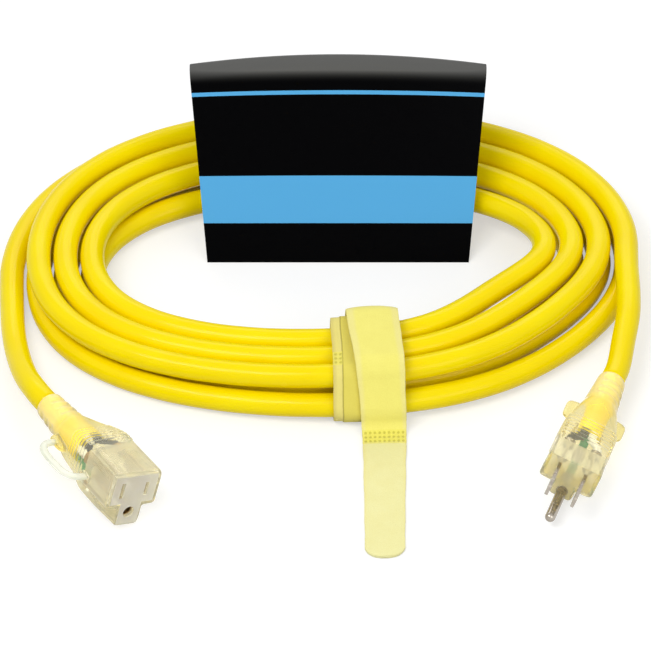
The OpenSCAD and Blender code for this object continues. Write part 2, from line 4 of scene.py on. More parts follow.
import bpy
import numpy as np
from bpy.props import FloatProperty, FloatVectorProperty, IntProperty, PointerProperty, StringProperty
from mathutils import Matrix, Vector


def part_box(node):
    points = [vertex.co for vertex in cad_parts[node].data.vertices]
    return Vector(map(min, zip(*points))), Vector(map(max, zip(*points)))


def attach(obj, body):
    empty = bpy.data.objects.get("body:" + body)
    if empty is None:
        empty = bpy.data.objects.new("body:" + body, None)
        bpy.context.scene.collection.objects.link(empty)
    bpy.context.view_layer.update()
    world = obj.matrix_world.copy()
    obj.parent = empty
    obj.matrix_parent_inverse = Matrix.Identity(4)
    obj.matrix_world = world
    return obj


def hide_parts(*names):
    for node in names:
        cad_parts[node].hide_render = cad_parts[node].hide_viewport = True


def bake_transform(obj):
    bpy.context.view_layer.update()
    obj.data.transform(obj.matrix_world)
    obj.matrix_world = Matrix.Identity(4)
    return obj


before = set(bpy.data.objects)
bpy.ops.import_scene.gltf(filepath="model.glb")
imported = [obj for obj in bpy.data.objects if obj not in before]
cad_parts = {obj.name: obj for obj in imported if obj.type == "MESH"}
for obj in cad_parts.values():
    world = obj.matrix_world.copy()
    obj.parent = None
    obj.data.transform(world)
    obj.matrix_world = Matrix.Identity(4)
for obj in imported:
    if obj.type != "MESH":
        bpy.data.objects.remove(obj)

bl_info = {
    "name": "Coiled Extension Cord",
    "version": (1, 0, 0),
    "blender": (4, 5, 0),
    "location": "3D View > Sidebar > Cord",
    "description": "Builds the finish of a coiled extension cord over its solid model",
    "category": "Object",
}

MM = 0.001

# ---- Sizes that the solid model gives, in millimetres ----

CORD_R = 5.5
COIL_HALF_W = 97.5
COIL_FRONT_D = 59.0
COIL_REAR_D = 52.0
SIDE_GAP = 1.0
FRONT_GAP = 1.3
REAR_GAP = 3.6
LAYER_GAP = 1.0
LAYER_TURNS = 3.25
CLIMB_TURNS = 0.5
LOWER_SPREAD = 0.5
CLIMB_TUCK = 0.2
SQUARENESS = 0.012
# A splay: where it is on the turn, the way it goes, how sharp it is, how far, and what each turn adds.
SPLAYS = ((-33.0, 135.0, 7, 15.5, -2.7), (-147.0, -155.0, 8, 1.4, 0.8))
STRAP_T = 1.6
STRAP_W = 19.5
STRAP_GAP = 0.8
STRAP_ANGLE = -80.0
STRAP_HEADING = 2.0
STRAP_X = 13.7
WRAP_X = -5.0
BAND_X = 5.0
LIFT_POWER = 6
REST_GAP = 0.3
TAIL_LEN = 86.5
TIP_R = 7.0
CARD_FRONT_Y = 13.5
CARD_SPREAD = 101.0
CARD_H = 73.0
CARD_ARCH = 6.0
CARD_T = 0.8
CARD_X = 4.5
CARD_TOP_W = 135.0
CARD_FOOT_W = 119.0
FOLD_R = 8.0
RELIEF_LEN = 20.0
EAR_REACH = 14.5
EAR_T = 2.4
BLADE_PITCH = 12.7
BLADE_RISE = 4.0
EARTH_Y = -7.9
WIRE_D = 3.9
WIRE_LEAD = 2.0

# Each end, with heights from its mouth. Its steps lead the tail away from the coil, and inward and
# ahead lead from where the cord leaves the coil to the mouth. rib_z belongs to the looks alone.
PLUG = {
    "heading": -17.0, "roll": 20.0, "face_z": 70.0, "half_w": 13.0, "top": 12.5,
    "lobe_half": 5.5, "lobe_depth": 12.2, "jacket_z": 42.0, "socket_z": 54.0, "core_z": 59.0,
    "rib_z": 42.5,
    "steps": [(0.5, -16, -0.3), (0.3, -32, -1.3), (-2.2, -50, -2.9)],
    "inward": -8.0, "ahead": 77.0,
}
CONNECTOR = {
    "heading": 31.0, "roll": 16.0, "face_z": 74.0, "half_w": 13.25, "top": 13.5,
    "lobe_half": 6.5, "lobe_depth": 15.0, "jacket_z": 36.0, "socket_z": 46.0, "core_z": 51.0,
    "rib_z": 35.0,
    "steps": [(0.5, -16, 0.3), (1.5, -34, 1.5), (4, -53, 3.5), (7.7, -71, 7.5)],
    "inward": 18.5, "ahead": 95.0,
}
SHOULDER_DROP = 5.0
SIDE_SWELL = 1.5
SIDE_DRAW = 0.8
TOP_SWELL = 0.5
CORNER_R = 2.0
RIB_PITCH = 2.2
RIB_COUNT = 7
EAR_LEN = 12.0

# ---- Sizes that only the looks have, in millimetres ----

RIB_RISE = 0.55
GROOVES = (5.4, 10.2, 15.0)
GROOVE_HALF = 1.15
GROOVE_DEPTH = 1.0
PLUG_SKIN = 0.3
POCKET_GAP = 0.06
UNDER_SEAM = -5.4
UNDER_WELD = 37.0
SEAM_THIN = 0.35
TAPE_STEP = 0.6
BEND_R = 6.0
WELD_PAST_COIL = 5.5
PRINT_ARCH = 0.58

# From the crest to the tip, in shares of the way: where the strap's width and bend are given, how
# much wider each side is after the crest, how far the strap bends aside, and its crown.
STRAP_MARKS = np.array([0.0, 0.18, 0.42, 1.0])
STRAP_WIDENING = (1.5, 0.2, -1.1)
STRAP_BEND = (-1.2, 1.0, 2.9, -0.2)
STRAP_CROWN = (1.0, 0.5, 0.0, 0.0)

NOISE_ROUGHNESS = 0.55
FROSTED = 0.42

# ---- Arrays and meshes ----


def smooth(u):
    """A step from 0 to 1 that starts and ends level: 3 u^2 - 2 u^3."""
    u = np.clip(u, 0.0, 1.0)
    return u * u * (3 - 2 * u)


def unit(v):
    """Each row scaled to a length of 1."""
    return v / np.linalg.norm(v, axis=-1, keepdims=True)


def round_turn(count):
    """A count of even angles round a full turn."""
    return np.linspace(0, 2 * pi, count, endpoint=False)


def superellipse(angle, power_x, power_y):
    """A superellipse of half axes 1: cosine and sine, each with its size raised to a power."""
    way = np.stack([np.cos(angle), np.sin(angle)], axis=-1)
    return np.sign(way) * np.abs(way) ** np.array([power_x, power_y])


def softened(values, count, mode="edge"):
    """The mean over a count of neighbours, with the ends padded."""
    return np.convolve(np.pad(values, count // 2, mode=mode), np.ones(count) / count, "valid")


def coil_centre():
    """Where the coil's own centre lies in the part's frame, in mm. The card gives it: its middle
    stands beside the centre, and its rear foot behind the front foot by the card's spread."""
    low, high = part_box("card_sleeve")
    across, rear = (low[0] + high[0]) / 2 / MM, high[1] / MM
    return np.array([across - CARD_X, rear - CARD_FRONT_Y - CARD_SPREAD, 0.0])


CENTRE = coil_centre()


def coil_points(t):
    """The cord's centreline at turn t, in mm. The turn is an ellipse, squared a little with its third
    harmonic and deeper at one end than at the other. It spirals in on the floor, climbs a layer over
    half a turn and spirals out above. Powers of a cosine lift it where it crosses the strap, and
    move it where the turns splay."""
    a = pi - 2 * pi * t
    climb = (t - LAYER_TURNS) / CLIMB_TURNS + 0.5
    s = smooth(climb)
    index = (LAYER_TURNS + LOWER_SPREAD - t) * (1 - s) + (t - LAYER_TURNS) * s
    index = index - CLIMB_TUCK * np.sin(pi * np.clip(climb, 0, 1)) ** 2
    half_w = COIL_HALF_W + index * (2 * CORD_R + SIDE_GAP)
    front_d = COIL_FRONT_D + index * (2 * CORD_R + FRONT_GAP)
    rear_d = COIL_REAR_D + index * (2 * CORD_R + REAR_GAP)
    splayed = sum(((far + step * index) * np.maximum(0, np.cos(a - radians(angle))) ** power)[..., None]
                  * np.array([cos(radians(way)), sin(radians(way)), 0.0])
                  for angle, way, power, far, step in SPLAYS)
    lift = (STRAP_T + STRAP_GAP) * np.maximum(0, np.cos(a - radians(STRAP_ANGLE))) ** LIFT_POWER
    k = SQUARENESS
    depth = (1 + k) * np.sin(a) + k * np.sin(3 * a)
    return splayed + np.stack([
        half_w * ((1 + k) * np.cos(a) - k * np.cos(3 * a)),
        (rear_d - front_d) / 2 + (rear_d + front_d) / 2 * depth,
        CORD_R + s * (2 * CORD_R + LAYER_GAP) + lift,
    ], axis=-1)


def curve_through(points, steps):
    """A smooth curve through points, its ends excepted: each span leaves and arrives along the line
    between the points on either side of it."""
    p = np.asarray(points, float)
    u = np.linspace(0, 1, steps, endpoint=False)[None, :, None]
    a, b, c, d = (p[i:len(p) - 3 + i, None, :] for i in range(4))
    spans = 0.5 * (2 * b + u * (c - a) + u ** 2 * (2 * a - 5 * b + 4 * c - d)
                   + u ** 3 * (3 * b - a - 3 * c + d))
    return np.concatenate([spans.reshape(-1, 3), p[-2:-1]])


def lengths_along(path):
    """The distance from the start at each point of a path."""
    return np.concatenate([[0.0], np.cumsum(np.linalg.norm(np.diff(path, axis=0), axis=1))])


def evenly(path, step):
    """The same path with its points the given distance apart."""
    s = lengths_along(path)
    at = np.linspace(0, s[-1], int(round(s[-1] / step)) + 1)
    return np.stack([np.interp(at, s, path[:, k]) for k in range(path.shape[1])], axis=1)


def forward(end):
    """The way that an end points, over the floor."""
    return np.array([sin(radians(end["heading"])), -cos(radians(end["heading"])), 0.0])


def mouth(end, leaves):
    """Where the cord meets an end's strain relief, in mm, from where it leaves the coil. The end
    lies on its lobe's lower corner."""
    half, depth, roll = end["lobe_half"] + SIDE_SWELL, end["lobe_depth"], radians(end["roll"])
    height = (half - CORNER_R) * sin(roll) + (depth - CORNER_R) * cos(roll) + CORNER_R
    return np.array([leaves[0] + end["inward"], leaves[1] - end["ahead"], height])


def place(points, end, at):
    """Points drawn along +Z from an end's mouth, laid on the floor in the part's frame, in metres:
    turned 90 degrees about X, then by the roll about Y and the heading about Z."""
    h, r = radians(end["heading"]), radians(end["roll"])
    lay = np.array([[1, 0, 0], [0, 0, -1], [0, 1, 0]], float)
    roll = np.array([[cos(r), 0, sin(r)], [0, 1, 0], [-sin(r), 0, cos(r)]])
    turn = np.array([[cos(h), -sin(h), 0], [sin(h), cos(h), 0], [0, 0, 1]])
    return (points @ (turn @ roll @ lay).T + at + CENTRE) * MM


TURNS = 2 * LAYER_TURNS
BACK = np.array([0, 2 * CORD_R, 0])


def free_route(end, leaves):
    """A tail's centreline from the coil to an end's mouth: listed steps from where the cord
    leaves the coil, straight for a stretch at both ends."""
    at = mouth(end, leaves)
    ahead = 2 * CORD_R * forward(end)
    steps = [leaves + np.array(step, float) for step in end["steps"]]
    return curve_through([leaves + BACK, leaves, *steps, at - ahead, at, at + ahead], 12), at


CONNECTOR_ROUTE, CONNECTOR_AT = free_route(CONNECTOR, coil_points(np.array(0.0)) - BACK)
PLUG_ROUTE, PLUG_AT = free_route(PLUG, coil_points(np.array(TURNS)) - BACK)


def new_mesh(name, points, faces, uv=None, slots=None):
    """A mesh from arrays: points, rows of three or four corners, a UV per point and a slot per face."""
    mesh = bpy.data.meshes.new(name)
    mesh.from_pydata(points.tolist(), [], [list(f) for f in faces])
    if uv is not None:
        corners = np.empty(len(mesh.loops), dtype=np.int64)
        mesh.loops.foreach_get("vertex_index", corners)
        layer = mesh.uv_layers.new(name="length")
        layer.data.foreach_set("uv", uv[corners].astype(np.float32).ravel())
    if slots is not None:
        mesh.polygons.foreach_set("material_index", np.asarray(slots, dtype=np.int32))
    mesh.update()
    mesh.validate()
    return mesh


def grid_faces(rows, columns, closed_rows=False):
    """The quads of a grid whose columns close on themselves, and whose rows may."""
    i = np.arange(rows if closed_rows else rows - 1)[:, None]
    k = np.arange(columns)[None, :]
    j, n = (i + 1) % rows, (k + 1) % columns
    return np.stack([i * columns + k, i * columns + n, j * columns + n, j * columns + k],
                    axis=-1).reshape(-1, 4)


def cap_faces(start, columns, centre, outwards):
    """A fan of triangles from a centre point to one row of a grid."""
    k = np.arange(columns)
    n = (k + 1) % columns
    a, b = (k, n) if outwards else (n, k)
    return np.stack([start + a, start + b, np.full(columns, centre)], axis=-1)


def closed_shell(rings, first, last):
    """Rows of rings as one closed shell, with a fan from a point over the first and the last."""
    rows, columns = rings.shape[:2]
    points = np.concatenate([rings.reshape(-1, 3), [first], [last]])
    faces = [
        *grid_faces(rows, columns),
        *cap_faces(0, columns, rows * columns, False),
        *cap_faces((rows - 1) * columns, columns, rows * columns + 1, True),
    ]
    return points, faces


def swept(path, offsets, up=(0.0, 0.0, 1.0)):
    """A closed tube: at each point of the path a ring of (side, over) offsets, square to the path."""
    tangent = unit(np.gradient(path, axis=0))
    side = unit(np.cross(np.array(up), tangent))
    over = np.cross(tangent, side)
    rings = (path[:, None, :] + offsets[..., :1] * side[:, None, :]
             + offsets[..., 1:] * over[:, None, :])
    return closed_shell(rings, path[0], path[-1])


def new_piece(name, shape, materials, body, replaces=()):
    """An object from a shape's points, faces and any UVs and slots, with its place in its mesh. It
    rides on a body and stands for CAD nodes."""
    piece = bpy.data.objects.new(name, new_mesh(name, *shape))
    bpy.context.scene.collection.objects.link(piece)
    for material in materials:
        piece.data.materials.append(material)
    piece.data.shade_smooth()
    if body:
        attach(piece, body)
    if replaces:
        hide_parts(*replaces)
    return piece


def settled(piece, *modifiers):
    """Applies modifiers, each a name, a type and its settings, so that none is left live."""
    for name, kind, settings in modifiers:
        modifier = piece.modifiers.new(name, kind)
        for key, value in settings.items():
            setattr(modifier, key, value)
    graph = bpy.context.evaluated_depsgraph_get()
    mesh = bpy.data.meshes.new_from_object(piece.evaluated_get(graph))
    piece.modifiers.clear()
    old, piece.data = piece.data, mesh
    bpy.data.meshes.remove(old)
    mesh.shade_smooth()
    return piece


# ---- Materials ----
#
# A MapRange takes a value, the two numbers that it goes from and the two that it goes to.


def colour(code):
    """An sRGB hex code as a linear colour."""
    parts = [int(code[i:i + 2], 16) / 255 for i in (1, 3, 5)]
    return (*[c / 12.92 if c <= 0.04045 else ((c + 0.055) / 1.055) ** 2.4 for c in parts], 1.0)


def add_node(tree, kind, *values, named=None, **settings):
    """Adds a node with its settings, and links or sets its inputs: values in the order of the
    inputs, and named ones by name or number. A node given as a value stands for its first output
    in use."""
    node = tree.nodes.new("ShaderNode" + kind)
    for key, value in settings.items():
        setattr(node, key, value)
    for key, value in {**dict(enumerate(values)), **(named or {})}.items():
        if isinstance(value, bpy.types.Node):
            value = next(socket for socket in value.outputs if socket.enabled)
        if isinstance(value, bpy.types.NodeSocket):
            tree.links.new(value, node.inputs[key])
        else:
            node.inputs[key].default_value = value
    return node


def new_material(name):
    """An empty material, its node tree and its output's socket for the surface."""
    material = bpy.data.materials.new(name)
    material.use_nodes = True
    tree = material.node_tree
    tree.nodes.clear()
    return material, tree, add_node(tree, "OutputMaterial").inputs["Surface"]


def layered(tree, base, layers):
    """Lays colours over a base: each layer is a mask, the share of it that counts and a hex code."""
    for mask, share, code in layers:
        part = add_node(tree, "Math", mask, share, operation="MULTIPLY")
        base = add_node(tree, "Mix", named={0: part, 6: base, 7: colour(code)}, data_type="RGBA")
    return base


def white_rays(tree):
    """1 for the rays that meet white surroundings: from the camera, in gloss and through glass."""
    rays = add_node(tree, "LightPath").outputs
    other = add_node(tree, "Math", rays["Is Glossy Ray"], rays["Is Transmission Ray"],
                     operation="MAXIMUM")
    return add_node(tree, "Math", rays["Is Camera Ray"], other, operation="MAXIMUM")


def shaded(name, rough, tint, grain, coordinates="Object", stretch=(1.0, 1.0, 1.0), detail=(2, 2, 2),
           spread=(0.3, 0.7), lets_light=0.0, **sockets):
    """A material on one Principled shader whose roughness, tint and height each follow a noise.
    rough and tint hold the lumps to a metre and what they go from and to as the noise goes over
    its spread. grain holds the lumps to a metre, stretched along an axis that is below 1, and the
    height in metres. lets_light is the share of the lamps' light that reaches what lies inside."""
    material, tree, surface_in = new_material(name)
    place_at = add_node(tree, "TexCoord").outputs[coordinates]
    drawn = add_node(tree, "Mapping", named={"Vector": place_at, "Scale": stretch})
    gloss, patches, height = (
        add_node(tree, "TexNoise", named={"Vector": at, "Scale": lumps, "Detail": fine,
                                          "Roughness": NOISE_ROUGHNESS})
        for at, lumps, fine in zip((place_at, place_at, drawn), (rough[0], tint[0], grain[0]), detail)
    )
    mask = add_node(tree, "MapRange", patches, *spread, 0.0, 1.0)
    base = layered(tree, colour(tint[1]), [(mask, 1.0, tint[2])])
    base.name = "tint"
    surface = add_node(tree, "BsdfPrincipled", name="shader", named={
        "Base Color": base,
        "Roughness": add_node(tree, "MapRange", gloss, *spread, *rough[1:]),
        "Normal": add_node(tree, "Bump", named={"Height": height, "Distance": grain[1], "Strength": 1.0}),
        **{key.replace("_", " "): value for key, value in sockets.items()},
    })
    if lets_light:
        shadow = add_node(tree, "LightPath").outputs["Is Shadow Ray"]
        share = add_node(tree, "Math", shadow, lets_light, operation="MULTIPLY")
        surface = add_node(tree, "MixShader", share, surface, add_node(tree, "BsdfTransparent"))
    tree.links.new(surface.outputs[0], surface_in)
    return material


def extruded_jacket(settings):
    """Extruded PVC jacket: satin, with faint drawn lines along the cord and slow changes of gloss."""
    return shaded("extruded_yellow_pvc", (60, 0.2, 0.28), (25, settings.deep_yellow, settings.yellow),
                  (1600, 0.00003), coordinates="UV", stretch=(0.03, 1.0, 1.0),
                  Specular_IOR_Level=0.07, Coat_Weight=0.12, Coat_Roughness=0.08)


def insulation(name, pale, deep):
    """Extruded PVC insulation of one conductor: glossy and even, with a fine grain."""
    return shaded(name, (900, 0.3, 0.42), (300, deep, pale), (1500, 0.00003))


def clear_moulding(name, pale, deep, clarity, rim_clarity, glow=None):
    """Injection-moulded flexible PVC: clear with a cream tint and a soft gloss, and milkier where
    the light passes through more of it, at the rim and in the strain relief. A glow, given as a
    colour, a direction and the distances that way of the relief's end, the jacket's end and the
    core, is painted light: the yellow light that the jacket inside throws into the clear body,
    painted into its tint."""
    material = shaded(name, (220, 0.06, 0.1), (60, deep, pale), (350, 0.00006), lets_light=0.85, IOR=1.24)
    tree = material.node_tree
    shader = tree.nodes["shader"]
    facing = add_node(tree, "LayerWeight").outputs["Facing"]
    passes = add_node(tree, "MapRange", facing, 0.35, 0.95, clarity, rim_clarity)
    if glow is not None:
        code, way, relief_end, jacket_end, core = glow
        place_at = add_node(tree, "TexCoord").outputs["Object"]
        far = add_node(tree, "VectorMath", place_at, tuple(way), operation="DOT_PRODUCT")
        past_relief = (far, relief_end - 0.004, relief_end + 0.003)
        body = add_node(tree, "MapRange", *past_relief, 0.0, 1.0)
        jacket = add_node(tree, "MapRange", far, jacket_end - 0.008, core, 1.0, 0.0)
        share = add_node(tree, "Math", body, jacket, operation="MULTIPLY")
        # Painted light: the jacket's yellow, scattered through the clear body, is painted into its tint
        # here.
        tint = layered(tree, tree.nodes["tint"], [(share, 1.0, code)])
        tree.links.new(tint.outputs[2], shader.inputs["Base Color"])
        clearer = add_node(tree, "MapRange", *past_relief, 0.8, 1.0)
        passes = add_node(tree, "Math", passes, clearer, operation="MULTIPLY")
    tree.links.new(passes.outputs[0], shader.inputs["Transmission Weight"])
    return material


def core_plastic(name, pale, deep, clarity, face=None):
    """Moulded insert behind a face: harder, paler and milkier than the clear body round it. A face,
    given as the way it looks and how far it lies that way, is frosted by its mould."""
    material = shaded(name, (400, 0.12, 0.18), (150, deep, pale), (900, 0.00004), lets_light=0.92,
                      Transmission_Weight=clarity, IOR=1.12)
    if face is not None:
        way, face_at = face
        tree = material.node_tree
        place_at = add_node(tree, "TexCoord").outputs["Object"]
        far = add_node(tree, "VectorMath", place_at, tuple(way), operation="DOT_PRODUCT")
        passes = add_node(tree, "MapRange", far, face_at - 0.0009, face_at - 0.0003, clarity, FROSTED)
        tree.links.new(passes.outputs[0], tree.nodes["shader"].inputs["Transmission Weight"])
    return material


def plated_metal(name, pale, deep, roughness):
    """Stamped and plated metal: fine marks from the die, and a slightly uneven gloss."""
    return shaded(name, (500, roughness - 0.04, roughness + 0.04), (250, deep, pale), (1200, 0.000006),
                  stretch=(1.0, 0.2, 1.0), detail=(4, 2, 2), Metallic=1.0)


def weld_dots(tree, across, length, middle):
    """Dots pressed by a welding tool, 2.1 mm apart across the strap and 2.8 mm along it, in a band
    of three rows: 1 in a dot's middle and 0 outside, and 1 in the band."""
    local = add_node(tree, "Math", length, middle, operation="SUBTRACT")
    squares = []
    for value, pitch in ((across, 0.0021), (local, 0.0028)):
        steps = (("ADD", 10 * pitch), ("DIVIDE", pitch), ("ADD", 0.5), ("FRACT",), ("SUBTRACT", 0.5))
        for operation, *other in steps:
            value = add_node(tree, "Math", value, *other, operation=operation)
        squares.append(add_node(tree, "Math", value, value, operation="MULTIPLY"))
    square = add_node(tree, "Math", *squares, operation="ADD")
    far = add_node(tree, "Math", square, operation="SQRT")
    dots = add_node(tree, "MapRange", far, 0.18, 0.34, 1.0, 0.0)
    away = add_node(tree, "Math", local, operation="ABSOLUTE")
    band = add_node(tree, "MapRange", away, 0.0042, 0.0047, 1.0, 0.0)
    return add_node(tree, "Math", dots, band, operation="MULTIPLY"), band


def strap_tape(name, main, edge, tail, weld_at, tail_from, sheen, seam=None):
    """Knitted loop tape: a low pile of fine loops over a woven ground, with a flat edge, a band of
    pressed dots, and past them the plainer side of the tape. At a seam the upper of two layers
    ends with a dark line, painted shade along the step where it ends, and the lower one is paler
    and holds the dots."""
    material, tree, surface_in = new_material(name)
    uv = add_node(tree, "TexCoord").outputs["UV"]
    axes = add_node(tree, "SeparateXYZ", uv).outputs
    across, length = axes["X"], axes["Y"]
    pile, patch = (
        add_node(tree, "TexNoise", named={"Vector": uv, "Scale": lumps, "Detail": fine,
                                          "Roughness": NOISE_ROUGHNESS})
        for lumps, fine in ((1700, 3), (130, 2))
    )
    dots, band = weld_dots(tree, across, length, weld_at)
    aside = add_node(tree, "Math", across, operation="ABSOLUTE")
    rim = add_node(tree, "MapRange", aside, 0.0078, 0.0092, 0.0, 1.0)
    past = add_node(tree, "MapRange", length, tail_from, tail_from + 0.001, 0.0, 1.0)
    layers = [(past, 1.0, tail), (rim, 0.6, edge)]
    if seam is not None:
        lower = add_node(tree, "MapRange", across, seam - 0.0001, seam + 0.0001, 1.0, 0.0)
        off = add_node(tree, "Math", across, seam, operation="SUBTRACT")
        off = add_node(tree, "Math", off, operation="ABSOLUTE")
        # Painted shade: a dark line along the step where the upper layer ends.
        line = add_node(tree, "MapRange", off, 0.0002, 0.0004, 1.0, 0.0)
        band, dots = (add_node(tree, "Math", v, lower, operation="MULTIPLY") for v in (band, dots))
        layers += [(lower, 0.35, "#FFF3B0"), (line, 0.6, "#7A6A1E")]
    shade = add_node(tree, "Math", add_node(tree, "MapRange", pile, 0.35, 0.65, 0.0, 0.16),
                     add_node(tree, "MapRange", patch, 0.3, 0.7, 0.0, 0.1), operation="ADD")
    layers += [(band, 0.55, "#F2EA5A"), (shade, 1.0, "#DCCB4E"), (dots, 0.55, "#B9AE2F")]
    bare = add_node(tree, "Math", 1.0, band, operation="SUBTRACT")
    raised = add_node(tree, "Math", pile, bare, operation="MULTIPLY")
    height = add_node(tree, "Math", dots, -1.5, raised, operation="MULTIPLY_ADD")
    shader = add_node(tree, "BsdfPrincipled", named={
        "Base Color": layered(tree, colour(main), layers),
        "Roughness": 0.9, "Sheen Weight": sheen, "Sheen Roughness": 0.5, "Specular IOR Level": 0.2,
        "Normal": add_node(tree, "Bump", named={"Height": height, "Distance": 0.00025, "Strength": 0.7}),
    })
    tree.links.new(shader.outputs["BSDF"], surface_in)
    return material


def coated_card(settings):
    """Printed and laminated card: a smooth black that pales to grey over the fold, a painted
    highlight for the fold's sheen, with a blue stripe and a blue band. They follow a height that
    takes in a share of the fold's arch."""
    material, tree, surface_in = new_material("laminated_black_card")
    places = add_node(tree, "TexCoord").outputs
    height = add_node(tree, "SeparateXYZ", places["UV"]).outputs["Y"]
    ink, waves, gloss = (
        add_node(tree, "TexNoise", named={"Vector": places["Object"], "Scale": lumps, "Detail": 2.0,
                                          "Roughness": NOISE_ROUGHNESS})
        for lumps in (500, 45, 300)
    )
    # Painted highlight: the grey over the fold stands for the sheen of the light on the fold.
    rise = add_node(tree, "MapRange", height, 0.068, 0.073, 0.0, 1.0)
    fold = add_node(tree, "Math", rise, 3.5, operation="POWER")
    layers = [(ink, 1.0, "#030304"), (fold, 1.0, "#5E5E5C")]
    for low, high in ((settings.band_low, settings.band_high), (settings.stripe_low, settings.stripe_high)):
        above = add_node(tree, "Math", height, low, operation="GREATER_THAN")
        below = add_node(tree, "Math", height, high, operation="LESS_THAN")
        inside = add_node(tree, "Math", above, below, operation="MULTIPLY")
        layers.append((inside, 1.0, settings.blue))
    shader = add_node(tree, "BsdfPrincipled", named={
        "Base Color": layered(tree, colour("#010102"), layers), "Specular IOR Level": 0.02,
        "Roughness": add_node(tree, "MapRange", gloss, 0.3, 0.7, 0.27, 0.36),
        "Normal": add_node(tree, "Bump", named={"Height": waves, "Distance": 0.0006, "Strength": 0.5}),
    })
    tree.links.new(shader.outputs["BSDF"], surface_in)
    return material


def grey_board():
    """The card's bare back and cut edges: pressed fibres, matt and slightly mottled."""
    return shaded("pressed_grey_board", (900, 0.9, 0.9), (900, "#A9A296", "#CFC9BD"), (2200, 0.00008),
                  detail=(2, 4, 3), spread=(0.0, 1.0))


def pale_floor(settings):
    """A pale floor that keeps the shadow, and shows white to the camera and in gloss and glass."""
    material, tree, surface_in = new_material("pale_floor")
    power = add_node(tree, "Math", white_rays(tree), settings.floor_glow, operation="MULTIPLY")
    glow = add_node(tree, "Emission", (1.0, 1.0, 1.0, 1.0), power)
    matt = add_node(tree, "BsdfDiffuse", colour(settings.floor_tint))
    tree.links.new(add_node(tree, "AddShader", matt, glow).outputs[0], surface_in)
    return material


# ---- Settings ----


class CordSettings(bpy.types.PropertyGroup):
    yellow: StringProperty(name="Yellow", description="Jacket colour, sRGB hex", default="#FBE500")
    deep_yellow: StringProperty(name="Deep yellow", description="Darker patches", default="#F8DC00")
    step: FloatProperty(name="Ring spacing", description="Distance between two rings of the cord",
                        default=0.0025, min=0.001, max=0.01, unit="LENGTH", subtype="DISTANCE")
    sides: IntProperty(name="Sides", description="Points round the cord", default=24, min=12, max=48)
    lay: FloatProperty(name="Lay", description="Length in which the conductors twist once",
                       default=0.075, unit="LENGTH", subtype="DISTANCE")


class EndSettings(bpy.types.PropertyGroup):
    clear_pale: StringProperty(name="Clear PVC", description="Tint, sRGB hex", default="#F8F4DE")
    clear_deep: StringProperty(name="Deeper tint", description="Uneven tint", default="#F3ECC9")
    # Painted light: the yellow that the jacket throws into the clear body near it.
    painted_jacket_glow: StringProperty(name="Glow", description="Tint near the jacket", default="#F2E7A6")
    clarity: FloatProperty(name="Clarity", description="How much light passes through",
                           default=0.8, min=0, max=1, subtype="FACTOR")
    rim_clarity: FloatProperty(name="Clarity at the rim", description="Clarity where it is seen edge on",
                               default=0.4, min=0, max=1, subtype="FACTOR")
    voxel: FloatProperty(name="Grain", description="Size of the moulding's mesh cells",
                         default=0.00042, unit="LENGTH", subtype="DISTANCE")


class StrapSettings(bpy.types.PropertyGroup):
    main: StringProperty(name="Strap", description="Upper tape, sRGB hex", default="#F7EF7E")
    tail: StringProperty(name="Tail", description="Tape past the weld", default="#F3EFB0")
    under: StringProperty(name="Under layer", description="Turn next to the cord", default="#E6D965")
    slack: FloatProperty(name="Slack", description="How far the outer turn stands off at the top",
                         default=0.0025, unit="LENGTH", subtype="DISTANCE")
    crest_widening: FloatProperty(name="Crest", description="How much wider each side is on the crest",
                                  default=0.002, unit="LENGTH", subtype="DISTANCE")
    crown: FloatProperty(name="Crown", description="How far the middle stands up on the crest",
                         default=0.001, unit="LENGTH", subtype="DISTANCE")
    fuzz: FloatProperty(name="Pile", description="Unevenness of the pile",
                        default=0.00012, unit="LENGTH", subtype="DISTANCE")


class CardSettings(bpy.types.PropertyGroup):
    blue: StringProperty(name="Blue", description="Stripe and band, sRGB hex", default="#5AAEE6")
    band_low: FloatProperty(name="Band foot", description="Lower edge of the band", default=0.0152,
                            unit="LENGTH", subtype="DISTANCE")
    band_high: FloatProperty(name="Band top", description="Upper edge of the band", default=0.0334,
                             unit="LENGTH", subtype="DISTANCE")
    stripe_low: FloatProperty(name="Stripe foot", description="Lower edge of the stripe",
                              default=0.0641, unit="LENGTH", subtype="DISTANCE")
    stripe_high: FloatProperty(name="Stripe top", description="Upper edge of the stripe",
                               default=0.0656, unit="LENGTH", subtype="DISTANCE")


class StageSettings(bpy.types.PropertyGroup):
    distance: FloatProperty(name="Distance", description="Camera to the object", default=6.0,
                            unit="LENGTH", subtype="DISTANCE")
    elevation: FloatProperty(name="Elevation", description="Camera above the horizon",
                             default=radians(40), unit="ROTATION", subtype="ANGLE")
    target: FloatVectorProperty(name="Target", description="Point in the middle of the view", size=3,
                                default=(0.0027, 0.0075, 0.0), unit="LENGTH", subtype="XYZ")
    seen_width: FloatProperty(name="Seen width", description="Width of the view at the target",
                              default=0.2946, unit="LENGTH", subtype="DISTANCE")
    key_power: FloatProperty(name="Key light", description="Power in watts", default=13.5)
    fill_power: FloatProperty(name="Fill light", description="Power in watts", default=5.5)
    sky: FloatProperty(name="Sky", description="Strength of the even light", default=0.51)
    floor_tint: StringProperty(name="Floor", description="sRGB hex", default="#C8C8C8")
    floor_glow: FloatProperty(name="Floor glow", description="White added for the camera", default=0.5)


# ---- Operators ----


